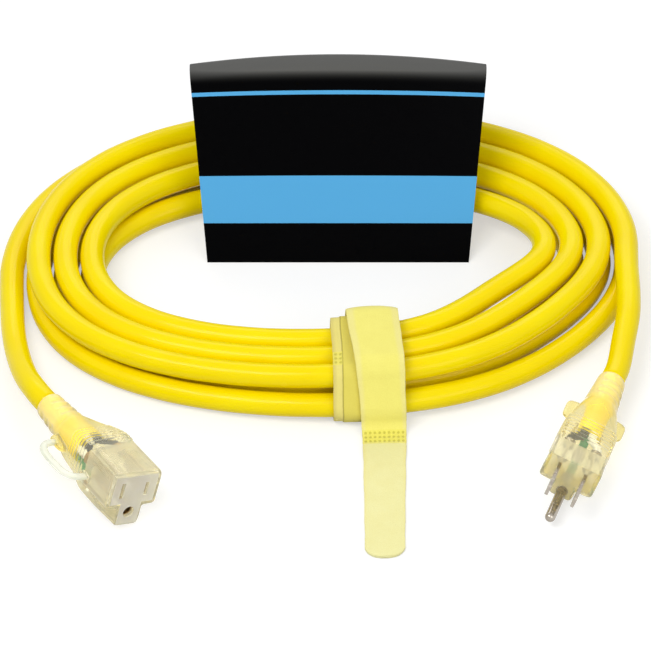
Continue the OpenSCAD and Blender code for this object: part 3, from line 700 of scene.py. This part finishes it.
class CORD_OT_stage(bpy.types.Operator):
    """Adds the camera, a pale floor and soft light"""

    bl_idname = "cord.stage"
    bl_label = "Stage"

    def execute(self, context):
        scene = context.scene
        settings = scene.stage_settings
        scene.view_settings.view_transform = "Standard"
        lens = bpy.data.cameras.new("camera")
        lens.sensor_width = 36.0
        lens.lens = 36.0 * settings.distance / settings.seen_width
        lens.clip_end = 100.0
        camera = bpy.data.objects.new("camera", lens)
        back = np.array([0, -cos(settings.elevation), sin(settings.elevation)])
        camera.location = np.array(settings.target) + settings.distance * back
        camera.rotation_euler = (pi / 2 - settings.elevation, 0, 0)
        scene.collection.objects.link(camera)
        scene.camera = camera

        span = np.linspace(-6, 6, 3)
        x, y = np.meshgrid(span, span)
        points = np.stack([x.ravel(), y.ravel(), np.full(9, -0.0002)], axis=-1)
        i = np.array([0, 1, 3, 4])
        faces = np.stack([i, i + 1, i + 4, i + 3], axis=-1)
        floor = new_piece("floor", (points, faces), [pale_floor(settings)], None)

        lamps = (
            ("key_light", (-0.6, -0.8, 1.5), settings.key_power, (1.0, 0.6)),
            ("fill_light", (0.8, -1.2, 0.8), settings.fill_power, (1.0, 0.8)),
            ("back_light", (0.1, 1.3, 1.1), settings.fill_power, (1.4, 0.6)),
        )
        for name, at, power, size in lamps:
            lamp = bpy.data.lights.new(name, "AREA")
            lamp.shape = "RECTANGLE"
            lamp.size, lamp.size_y = size
            lamp.energy = power
            light = bpy.data.objects.new(name, lamp)
            light.location = at
            light.rotation_euler = (-light.location).to_track_quat("-Z", "Y").to_euler()
            scene.collection.objects.link(light)

        world = bpy.data.worlds.new("even_sky")
        world.use_nodes = True
        tree = world.node_tree
        tree.nodes.clear()
        strength = add_node(tree, "MapRange", white_rays(tree), 0.0, 1.0, settings.sky, 1.0)
        add_node(tree, "OutputWorld", add_node(tree, "Background", (1.0, 1.0, 1.0, 1.0), strength))
        scene.world = world
        return {"FINISHED"}


class CORD_OT_cord(bpy.types.Operator):
    """Lays the cord in one piece from the plug round the coil to the connector"""

    bl_idname = "cord.lay_cord"
    bl_label = "Cord"

    def execute(self, context):
        settings = context.scene.cord_settings
        coil = coil_points(np.linspace(TURNS, 0, 2400))
        path = np.concatenate([PLUG_ROUTE[::-1], coil, CONNECTOR_ROUTE])
        path = evenly(path, settings.step / MM)
        along = lengths_along(path)[:, None]
        angle = round_turn(settings.sides)[None, :]
        twist = np.cos(3 * (angle - 2 * pi * along * MM / settings.lay))
        radius = CORD_R * (0.996 + 0.004 * twist)
        points, faces = swept(path, np.stack([radius * np.cos(angle), radius * np.sin(angle)], axis=-1))
        points = (points + CENTRE) * MM
        v = np.abs((angle / pi + 0.5) % 2 - 1) * pi * CORD_R * MM
        uv = np.stack(np.broadcast_arrays(along * MM, v), axis=-1).reshape(-1, 2)
        uv = np.concatenate([uv, uv[:1], uv[-1:]])
        cord = new_piece("cord_run", (points, faces, uv), [extruded_jacket(settings)], "cord",
                         ("cord_coil", "plug_tail", "connector_tail"))
        return {"FINISHED"}


def moulding_section(end, z, angle):
    """The moulding's radius at heights z and angles round the cord's axis, in mm. Four sides and a
    lobe are each a distance from the axis, blended by a power that is 2, a circle, at the strain
    relief and high, a box, at the face. Ribs and slots are waves on top of it."""
    face, half_w, top = end["face_z"], end["half_w"], end["top"]
    drop, lobe_half, depth = SHOULDER_DROP, end["lobe_half"], end["lobe_depth"]
    swollen = half_w - SIDE_DRAW, top + TOP_SWELL, drop + SIDE_SWELL
    # Each row: height, half width, top, bottom, power, the lobe's half width and its depth.
    stations = np.array([
        (0, 6.4, 6.4, 6.4, 2, 4.5, 6.4),
        (RELIEF_LEN, 8.2, 8.2, 8.2, 2, 5.3, 8.2),
        (RELIEF_LEN + 9, 10.0, 10.2, 8.6, 3.4, 6.2, 10.2),
        (RELIEF_LEN + 24, *swollen, 7, lobe_half + SIDE_SWELL, depth),
        (face - 16, *swollen, 8, lobe_half + SIDE_SWELL, depth),
        (face, half_w, top, drop, 9, lobe_half, depth),
    ])
    fine = np.linspace(0, face, 400)
    keep = np.clip((fine - RELIEF_LEN) / 4, 0, 1)
    drawn = [np.interp(fine, stations[:, 0], values) for values in stations.T[1:]]
    half, high, low, power, lobe, deep = (
        np.interp(z, fine, v * (1 - keep) + softened(v, 25) * keep)[:, None] for v in drawn
    )
    x, y = np.cos(angle)[None, :], np.sin(angle)[None, :]
    up, down = np.maximum(y, 1e-6), np.maximum(-y, 1e-6)
    box = ((np.abs(x) / half) ** power + (up / high) ** power + (down / low) ** power) ** (-1 / power)
    under = ((np.abs(x) / lobe) ** power + (down / deep) ** power) ** (-1 / power)
    under = np.where(y < 0, under, 0.0)
    radius = (box ** 14 + under ** 14) ** (1 / 14)

    phase = (z - end["rib_z"]) / RIB_PITCH
    wave = np.clip(0.5 + 0.9 * np.sin(2 * pi * phase + 0.4), 0, 1) * (phase > 0) * (phase < RIB_COUNT)
    flank = (0.7 + 0.3 * smooth((np.abs(x) - 0.45) / 0.25)) * smooth((y + 0.35) / 0.2)
    radius = radius + RIB_RISE * wave[:, None] * flank

    groove = sum(np.exp(-(((z - middle) / GROOVE_HALF) ** 4)) for middle in GROOVES)
    slot = smooth((np.abs(np.cos(angle - radians(62))) - 0.35) / 0.3)[None, :]
    return radius - GROOVE_DEPTH * groove[:, None] * slot


def moulding_shell(end, skin=0.0):
    """The moulding as a closed shell: sections along the cord's axis, rounded at both ends. A skin
    takes it past the face, so that it closes over what is embedded there."""
    face, edge_back, edge_face, rows = end["face_z"] + skin, 0.8, 0.9, 260
    turn = np.linspace(0, pi / 2, 5)
    body = np.linspace(edge_back, face - edge_face, rows)[1:-1]
    z = np.concatenate([edge_back * (1 - np.sin(turn[::-1])), body, face - edge_face * (1 - np.sin(turn))])
    inset = np.concatenate([edge_back * (1 - np.cos(turn[::-1])), np.zeros(rows - 2),
                            edge_face * (1 - np.cos(turn))])
    angle = round_turn(220)
    radius = moulding_section(end, z, angle) - inset[:, None]
    rings = np.stack([radius * np.cos(angle), radius * np.sin(angle),
                      np.broadcast_to(z[:, None], radius.shape)], axis=-1)
    return closed_shell(rings, (0.0, 0.0, 0.0), (0.0, 0.0, face))


def flat_plate(outline, thickness, edge):
    """A closed plate with rounded edges: a convex outline in (x, z), drawn in at its two faces."""
    x, z = middle = outline.mean(axis=0)
    turn = np.linspace(0, pi / 2, 4)
    inset = np.concatenate([edge * (1 - np.sin(turn)), edge * (1 - np.cos(turn))])
    height = np.concatenate([-thickness / 2 + edge * (1 - np.cos(turn)),
                             thickness / 2 - edge * (1 - np.sin(turn))])
    away = outline - middle
    far = np.linalg.norm(away, axis=1, keepdims=True)
    rings = [np.insert(middle + away * (1 - i / far), 1, h, axis=1) for i, h in zip(inset, height)]
    return closed_shell(np.stack(rings), (x, -thickness / 2, z), (x, thickness / 2, z))


def round_box(low, high, power):
    """A rounded rectangle's outline: a superellipse between two corners."""
    low, high = np.array(low, float), np.array(high, float)
    return (low + high) / 2 + superellipse(round_turn(72), 2 / power, 2 / power) * (high - low) / 2


def joined(shells):
    """Several closed shells as one list of points and faces."""
    starts = np.cumsum([0] + [len(p) for p, _ in shells[:-1]])
    points = np.concatenate([p for p, _ in shells])
    faces = [tuple(int(k) + int(start) for k in f) for (_, fs), start in zip(shells, starts) for f in fs]
    return points, faces


def core_pocket(end, front):
    """The T-shaped prism behind the face in which the connector's carrier sits, in mm."""
    wall, lobe_wall = 2.0 - POCKET_GAP, 1.0 - POCKET_GAP
    half, top, shoulder = end["half_w"] - wall, end["top"] - wall, SHOULDER_DROP - wall
    lobe, deep = end["lobe_half"] - lobe_wall, end["lobe_depth"] - lobe_wall
    outline = np.array([
        (half, -shoulder), (half, top), (-half, top), (-half, -shoulder),
        (-lobe, -shoulder), (-lobe, -deep), (lobe, -deep), (lobe, -shoulder),
    ])
    n = len(outline)
    points = np.concatenate([np.insert(outline, 2, z, axis=1) for z in (end["core_z"], front)])
    sides = [(i, (i + 1) % n, (i + 1) % n + n, i + n) for i in range(n)]
    return points, sides + [tuple(range(n - 1, -1, -1)), tuple(range(n, 2 * n))]


def moulded_end(name, end, at, shells, replaces, settings, material, pocket=None):
    """One end's clear body, strain relief and ears, fused into one skin with soft inner corners."""
    points, faces = joined(shells)
    piece = new_piece(name, (place(points, end, at), faces), [material], None)
    settled(
        piece,
        ("fuse", "REMESH", {"mode": "VOXEL", "voxel_size": settings.voxel, "use_smooth_shade": True}),
        ("soften", "SMOOTH", {"factor": 0.5, "iterations": 5}),
    )
    if pocket is not None:
        cut_points, cut_faces = pocket
        cutter = new_piece("cutter", (place(cut_points, end, at), cut_faces), [material], None)
        settled(piece, ("pocket", "BOOLEAN", {"operation": "DIFFERENCE", "object": cutter,
                                              "solver": "EXACT"}))
        bpy.data.objects.remove(cutter)
        piece.data.set_sharp_from_angle(angle=radians(40))
    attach(piece, "cord")
    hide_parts(*replaces)
    return piece


def ears():
    """The two pull ears, one plate across the body."""
    back = RELIEF_LEN + 2.5
    return flat_plate(round_box((-EAR_REACH, back), (EAR_REACH, back + EAR_LEN), 5), EAR_T, 0.7)


def hang_band():
    """The hang loop's centreline, in mm: a superellipse's left half, from the ear out to the side
    and back to the lug, and a section a little wider than thick."""
    reach, rooted, low, high = 8.3, 1.2, RELIEF_LEN + 7.2, RELIEF_LEN + 34.4
    half = superellipse(np.linspace(pi / 2, 3 * pi / 2, 90), 2 / 3, 2 / 3)
    x = -EAR_REACH + rooted + (reach + rooted) * half[:, 0]
    z = (low + high) / 2 - (high - low) / 2 * half[:, 1]
    path = evenly(np.stack([x, np.zeros_like(x), z], axis=-1), 0.6)
    section = superellipse(round_turn(24), 0.7, 0.7) * np.array([1.7, 1.2])
    return swept(path, np.broadcast_to(section, (len(path), 24, 2)), up=(0.0, 1.0, 0.0))


def far_along(end, at, z):
    """How far a height on an end's axis lies along the way that the end points, in metres."""
    return float(place(np.array([[0.0, 0.0, z]]), end, at)[0] @ forward(end))


def end_material(name, end, at, settings):
    """The clear body's material at one end, with the jacket's yellow light painted into its tint
    near the jacket's end.
    """
    glow = (settings.painted_jacket_glow, forward(end), *(far_along(end, at, z) for z in (
        RELIEF_LEN, end["jacket_z"], end["core_z"])))
    return clear_moulding(name, settings.clear_pale, settings.clear_deep, settings.clarity,
                          settings.rim_clarity, glow)


class CORD_OT_plug(bpy.types.Operator):
    """Moulds the plug's clear body over its core, blades and conductors"""

    bl_idname = "cord.mould_plug"
    bl_label = "Plug"

    def execute(self, context):
        settings = context.scene.end_settings
        material = end_material("moulded_clear_pvc_plug", PLUG, PLUG_AT, settings)
        moulded_end("plug_moulding", PLUG, PLUG_AT, [moulding_shell(PLUG, PLUG_SKIN), ears()],
                    ("plug_cover", "plug_strain_relief"), settings, material)
        return {"FINISHED"}


class CORD_OT_connector(bpy.types.Operator):
    """Moulds the connector's clear body round its carrier, with the hang loop at its side"""

    bl_idname = "cord.mould_connector"
    bl_label = "Connector"

    def execute(self, context):
        settings = context.scene.end_settings
        material = end_material("moulded_clear_pvc_connector", CONNECTOR, CONNECTOR_AT, settings)
        milky = clear_moulding("moulded_clear_pvc_thin", "#F5F6EC", "#EEF0E2", 0.45, 0.3)
        lug = flat_plate(round_box((-EAR_REACH - 1, RELIEF_LEN + 31), (-10, RELIEF_LEN + 36), 5),
                         EAR_T, 0.6)
        moulded_end("connector_moulding", CONNECTOR, CONNECTOR_AT,
                    [moulding_shell(CONNECTOR), ears(), lug],
                    ("connector_cover", "connector_strain_relief"), settings, material,
                    core_pocket(CONNECTOR, CONNECTOR["face_z"] + 3))
        points, faces = hang_band()
        new_piece("hang_loop_band", (place(points, CONNECTOR, CONNECTOR_AT), faces), [milky], "cord",
                  ("hang_loop",))
        return {"FINISHED"}


class CORD_OT_conductors(bpy.types.Operator):
    """Runs the three insulated conductors inside each end"""

    bl_idname = "cord.run_conductors"
    bl_label = "Conductors"

    def execute(self, context):
        ring_r = WIRE_D / 3 ** 0.5 / cos(pi / 8) + 0.05
        section = WIRE_D / 2 * superellipse(round_turn(20), 1.0, 1.0)
        kinds = {
            "line": ("black", insulation("extruded_black_pvc", "#0E0E10", "#070708")),
            "neutral": ("white", insulation("extruded_white_pvc", "#F1F1EC", "#E6E6E0")),
            "earth": ("green", insulation("extruded_green_pvc", "#239A55", "#1A8146")),
        }
        ends = (("plug", PLUG, PLUG_AT, -1), ("connector", CONNECTOR, CONNECTOR_AT, 1))
        for end_name, end, at, side in ends:
            targets = {
                "line": (90 - 60 * side, side * BLADE_PITCH / 2, BLADE_RISE),
                "neutral": (90 + 60 * side, -side * BLADE_PITCH / 2, BLADE_RISE),
                "earth": (-90, 0.0, EARTH_Y),
            }
            for kind, (angle, x, y) in targets.items():
                shade, material = kinds[kind]
                node = f"{end_name}_{kind}_wire"
                a = radians(angle)
                start = np.array([ring_r * cos(a), ring_r * sin(a), end["jacket_z"]])
                span = np.array([x, y, end["socket_z"]]) - start
                u = np.linspace(0, 1, 40)[:, None]
                lead = WIRE_LEAD / span[2]
                blend = smooth((u - lead) / (1 - 2 * lead))
                path = start + np.concatenate([span[:2] * blend, span[2] * u], axis=1)
                points, faces = swept(path, np.broadcast_to(section, (40, 20, 2)), up=(1.0, 0.0, 0.0))
                new_piece(node + "_insulation", (place(points, end, at), faces), [material], "cord",
                          (node,))
        return {"FINISHED"}


class CORD_OT_terminals(bpy.types.Operator):
    """Finishes the blades, the pin, the contacts, the two cores and the jacket's ends"""

    bl_idname = "cord.finish_terminals"
    bl_label = "Terminals"

    def execute(self, context):
        cord = context.scene.cord_settings
        nickel = plated_metal("nickel_plated_brass", "#B9B2A7", "#A0978A", 0.26)
        brass = plated_metal("stamped_brass", "#BFA069", "#93774A", 0.32)
        core = core_plastic("moulded_core_pvc", "#F8F4DE", "#F3EDCB", 0.7)
        face = (forward(CONNECTOR), far_along(CONNECTOR, CONNECTOR_AT, CONNECTOR["face_z"]))
        carrier = core_plastic("moulded_carrier_pvc", "#FBF8EC", "#F6F2E0", 0.82, face)
        jacket = shaded("extruded_yellow_pvc_inside", (200, 0.28, 0.38),
                        (90, cord.deep_yellow, cord.yellow), (900, 0.00003))
        finishes = {
            nickel: ("line_blade", "neutral_blade", "earth_pin"),
            brass: ("line_contact", "neutral_contact", "earth_contact"),
            core: ("plug_core",),
            carrier: ("contact_carrier",),
            jacket: ("plug_jacket_end", "connector_jacket_end"),
        }
        for material, nodes in finishes.items():
            for node in nodes:
                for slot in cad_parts[node].material_slots:
                    slot.material = material
        return {"FINISHED"}


# ---- Strap ----


def strap_world(x, y, z):
    """Points in the strap's own frame, turned and moved into the part's frame, in metres."""
    h = radians(STRAP_HEADING)
    placed = np.stack([STRAP_X + x * cos(h) - y * sin(h), x * sin(h) + y * cos(h), z], axis=-1)
    return (placed + CENTRE) * MM


def bundle_corners():
    """The bundle's corner strands under the strap, as (y, z) in the strap's frame, at its middle
    and at its two edges."""
    h = radians(STRAP_HEADING)
    turn = (180 - STRAP_ANGLE) / 360
    reach = (STRAP_W / 2 - WRAP_X) / (2 * pi * COIL_HALF_W)
    t = turn + np.array([0, 2, 3, 5], float)[:, None]
    at = coil_points(t + reach * np.array([-1, 0, 1]))
    y = -(at[..., 0] - STRAP_X) * sin(h) + at[..., 1] * cos(h)
    z = np.broadcast_to(coil_points(t)[..., 2], y.shape)
    return np.stack([y, z], axis=-1).reshape(-1, 2)


CORNERS = bundle_corners()


def round_bundle(angle, radius):
    """The outline round the bundle at a distance: in each direction, the furthest corner plus the
    radius that way."""
    way = np.stack([np.cos(angle), np.sin(angle)], axis=-1)
    return CORNERS[np.argmax(way @ CORNERS.T, axis=1)] + np.reshape(radius, (-1, 1)) * way


def tape_offsets(half_widths):
    """A flat strap's section at each row: a superellipse as wide and as thick as the tape."""
    section = superellipse(round_turn(56), 0.55, 0.25)
    sizes = np.stack([half_widths, np.full(len(half_widths), STRAP_T / 2)], axis=-1)
    return sizes[:, None, :] * section


def tape(path, offsets, x_middle, closed, fuzz, seed):
    """A strap along a path in (y, z): each ring stands across the path, with its width along x from
    a middle that may wander, and seeded noise makes the pile's surface uneven. Returns points in the
    part's frame, faces and UVs in metres across and along."""
    x_middle = np.broadcast_to(x_middle, (len(path),))
    if closed:
        tangent = unit(np.roll(path, -1, axis=0) - np.roll(path, 1, axis=0))
    else:
        tangent = unit(np.gradient(path, axis=0))
    normal = np.stack([tangent[:, 1], -tangent[:, 0]], axis=-1)
    rows, columns = offsets.shape[:2]
    rng = np.random.default_rng(seed)
    rough = rng.normal(0, 1, (rows, columns)) * fuzz / MM
    over = offsets[..., 1] + np.sign(offsets[..., 1]) * np.abs(rough) * 0.5
    wander = softened(rng.normal(0, 1, rows), 17, "wrap")
    x = x_middle[:, None] + offsets[..., 0] + 0.35 * wander[:, None] * np.sign(offsets[..., 0])
    y = path[:, None, 0] + over * normal[:, None, 0]
    z = path[:, None, 1] + over * normal[:, None, 1]
    rings = strap_world(x, y, np.maximum(z, 0.02))
    s = lengths_along(path)[:, None] * MM
    uv = np.stack(np.broadcast_arrays(offsets[..., 0] * MM, s), axis=-1).reshape(-1, 2)
    if closed:
        return rings.reshape(-1, 3), grid_faces(rows, columns, True), uv
    ends = strap_world(x_middle[[0, -1]], path[[0, -1], 0], path[[0, -1], 1])
    return *closed_shell(rings, *ends), np.concatenate([uv, uv[:1], uv[-1:]])


class CORD_OT_strap(bpy.types.Operator):
    """Winds the hook-and-loop strap round the front of the coil, with its tail on the floor"""

    bl_idname = "cord.wind_strap"
    bl_label = "Strap"

    def execute(self, context):
        settings = context.scene.strap_settings
        wrap_mid = CORD_R + STRAP_GAP + STRAP_T / 2
        band_mid = wrap_mid + STRAP_T + REST_GAP
        loop = round_bundle(round_turn(2000), wrap_mid)
        loop = evenly(np.concatenate([loop, loop[:1]]), TAPE_STEP)[:-1]
        under = tape_offsets(np.full(len(loop), STRAP_W / 2))
        single = (under[..., 0] < UNDER_SEAM) & (under[..., 1] > 0)
        under[..., 1] = np.where(single, under[..., 1] * SEAM_THIN, under[..., 1])
        shape = tape(loop, under, WRAP_X, True, settings.fuzz, 3)
        tape_under = strap_tape("knitted_loop_tape_under", settings.under, "#B9A63C", settings.under,
                                UNDER_WELD * MM, 9.0, 0.15, UNDER_SEAM * MM)
        new_piece("strap_under_turn", shape, [tape_under], "cord", ("strap_wrap",))

        front, rear = CORNERS[:, 0].min() - band_mid, CORNERS[:, 0].max() + band_mid
        angle = np.linspace(0, pi, 1500)
        over = round_bundle(angle, band_mid + settings.slack / MM * np.sin(angle) ** 3)
        turn = np.linspace(0, pi / 2, 20)
        corner = np.stack([front - BEND_R * (1 - np.cos(turn)),
                           STRAP_T / 2 + BEND_R * (1 - np.sin(turn))], axis=-1)
        tail_end = front - STRAP_T / 2 - REST_GAP - TAIL_LEN
        line = evenly(np.concatenate([
            [[rear, 4.0]], over[over[:, 1] > BEND_R + STRAP_T], corner, [[tail_end, STRAP_T / 2]],
        ]), TAPE_STEP)
        s = lengths_along(line)
        tip = np.minimum(s[-1] - s, TIP_R)
        tip_half = STRAP_W / 2 - TIP_R + np.sqrt(np.maximum(TIP_R ** 2 - (TIP_R - tip) ** 2, 0.01))
        crest = s[np.argmax(line[:, 1])]
        marks = crest + (s[-1] - crest) * STRAP_MARKS
        widening, bend = (
            softened(np.interp(s, marks, values), 41)
            for values in ((settings.crest_widening / MM, *STRAP_WIDENING), STRAP_BEND)
        )
        offsets = tape_offsets(tip_half + widening)
        arch = settings.crown / MM * np.interp(s, marks, STRAP_CROWN)[:, None]
        offsets[..., 1] += arch * (1 - (offsets[..., 0] / (STRAP_W / 2 + 2)) ** 2)
        shape = tape(line, offsets, BAND_X + bend, False, settings.fuzz, 7)
        weld = (s[-1] - TAIL_LEN + WELD_PAST_COIL) * MM
        tape_over = strap_tape("knitted_loop_tape", settings.main, "#F4EBA0", settings.tail,
                               weld, weld + 0.003, 0.25)
        strap = new_piece("strap_over_turn", shape, [tape_over], None,
                          ("strap_band", "strap_tail"))
        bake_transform(strap)
        return {"FINISHED"}


# ---- Card ----


def card_profile(inset):
    """The folded card's profile as (y, z) from the fold's middle: two flat panels and an arc."""
    rise = CARD_H - FOLD_R
    foot = CARD_SPREAD / 2
    angle = np.arctan(rise / foot) + np.arcsin(FOLD_R / np.hypot(rise, foot))
    a = np.linspace(-angle, angle, 33)
    arc = np.stack([(FOLD_R - inset) * np.sin(a), rise + (FOLD_R - inset) * np.cos(a)], axis=-1)
    reach = foot - inset / np.sin(angle)
    start, stop = np.array([-reach, 0.0]), np.array([reach, 0.0])
    u = np.linspace(0, 1, 40, endpoint=False)[:, None]
    return np.concatenate([start + (arc[0] - start) * u, arc, arc[-1] + (stop - arc[-1]) * (u + 1 / 40)])


class CORD_OT_card(bpy.types.Operator):
    """Folds the printed card sleeve over the rear of the coil"""

    bl_idname = "cord.fold_card"
    bl_label = "Card sleeve"

    def execute(self, context):
        settings = context.scene.card_settings
        outer, inner = card_profile(0.0), card_profile(CARD_T)
        loop = np.concatenate([outer, inner[::-1]])
        m, n = len(outer), len(loop)
        across = np.linspace(1, -1, 61)
        h = loop[None, :, 1] / CARD_H
        half = (CARD_FOOT_W + (CARD_TOP_W - CARD_FOOT_W) * h) / 2
        u = across[:, None]
        x = CARD_X + u * half
        y = CARD_FRONT_Y + CARD_SPREAD / 2 + np.broadcast_to(loop[None, :, 0], x.shape)
        z = loop[None, :, 1] + CARD_ARCH * h * h * (1 - u * u)
        print_height = loop[None, :, 1] + (1 - PRINT_ARCH) * CARD_ARCH * h * h * (1 - u * u)
        uv = np.stack([x, print_height], axis=-1).reshape(-1, 2) * MM
        points = (np.stack([x, y, z], axis=-1).reshape(-1, 3) + CENTRE) * MM
        rows = len(across)
        faces = grid_faces(rows, n)
        strip = np.arange(m - 1)
        end = (rows - 1) * n
        first = np.stack([strip, strip + 1, n - 2 - strip, n - 1 - strip], axis=-1)
        last = np.stack([strip + 1, strip, n - 1 - strip, n - 2 - strip], axis=-1) + end
        around = np.tile(np.arange(n), rows - 1)
        printed = (around < m - 1).astype(int)
        slots = np.concatenate([1 - printed, np.ones(2 * (m - 1), dtype=int)])
        shape = points, np.concatenate([faces, first, last]), uv, slots
        card = new_piece("card_sleeve_board", shape, [coated_card(settings), grey_board()], "sleeve",
                         ("card_sleeve",))
        card.data.set_sharp_from_angle(angle=radians(35))
        return {"FINISHED"}


# ---- Panel and registration ----

STEPS = (
    CORD_OT_stage, CORD_OT_cord, CORD_OT_plug, CORD_OT_connector, CORD_OT_conductors,
    CORD_OT_terminals, CORD_OT_strap, CORD_OT_card,
)
GROUPS = {
    "cord_settings": CordSettings,
    "end_settings": EndSettings,
    "strap_settings": StrapSettings,
    "card_settings": CardSettings,
    "stage_settings": StageSettings,
}


class CORD_PT_build(bpy.types.Panel):
    """Lists the steps and their settings"""

    bl_label = "Extension cord"
    bl_idname = "CORD_PT_build"
    bl_space_type = "VIEW_3D"
    bl_region_type = "UI"
    bl_category = "Cord"

    def draw(self, context):
        for step in STEPS:
            self.layout.operator(step.bl_idname)
        for name, group in GROUPS.items():
            box = self.layout.box()
            for key in group.__annotations__:
                box.prop(getattr(context.scene, name), key)


def register():
    for group in GROUPS.values():
        bpy.utils.register_class(group)
    for name, group in GROUPS.items():
        setattr(bpy.types.Scene, name, PointerProperty(type=group))
    for cls in (*STEPS, CORD_PT_build):
        bpy.utils.register_class(cls)


def unregister():
    for cls in (CORD_PT_build, *reversed(STEPS)):
        bpy.utils.unregister_class(cls)
    for name in GROUPS:
        delattr(bpy.types.Scene, name)
    for group in reversed(GROUPS.values()):
        bpy.utils.unregister_class(group)


def main():
    """Registers the add-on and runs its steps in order."""
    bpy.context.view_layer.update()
    register()
    for step in STEPS:
        category, name = step.bl_idname.split(".")
        getattr(getattr(bpy.ops, category), name)()
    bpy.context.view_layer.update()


if __name__ == "__main__":
    main()
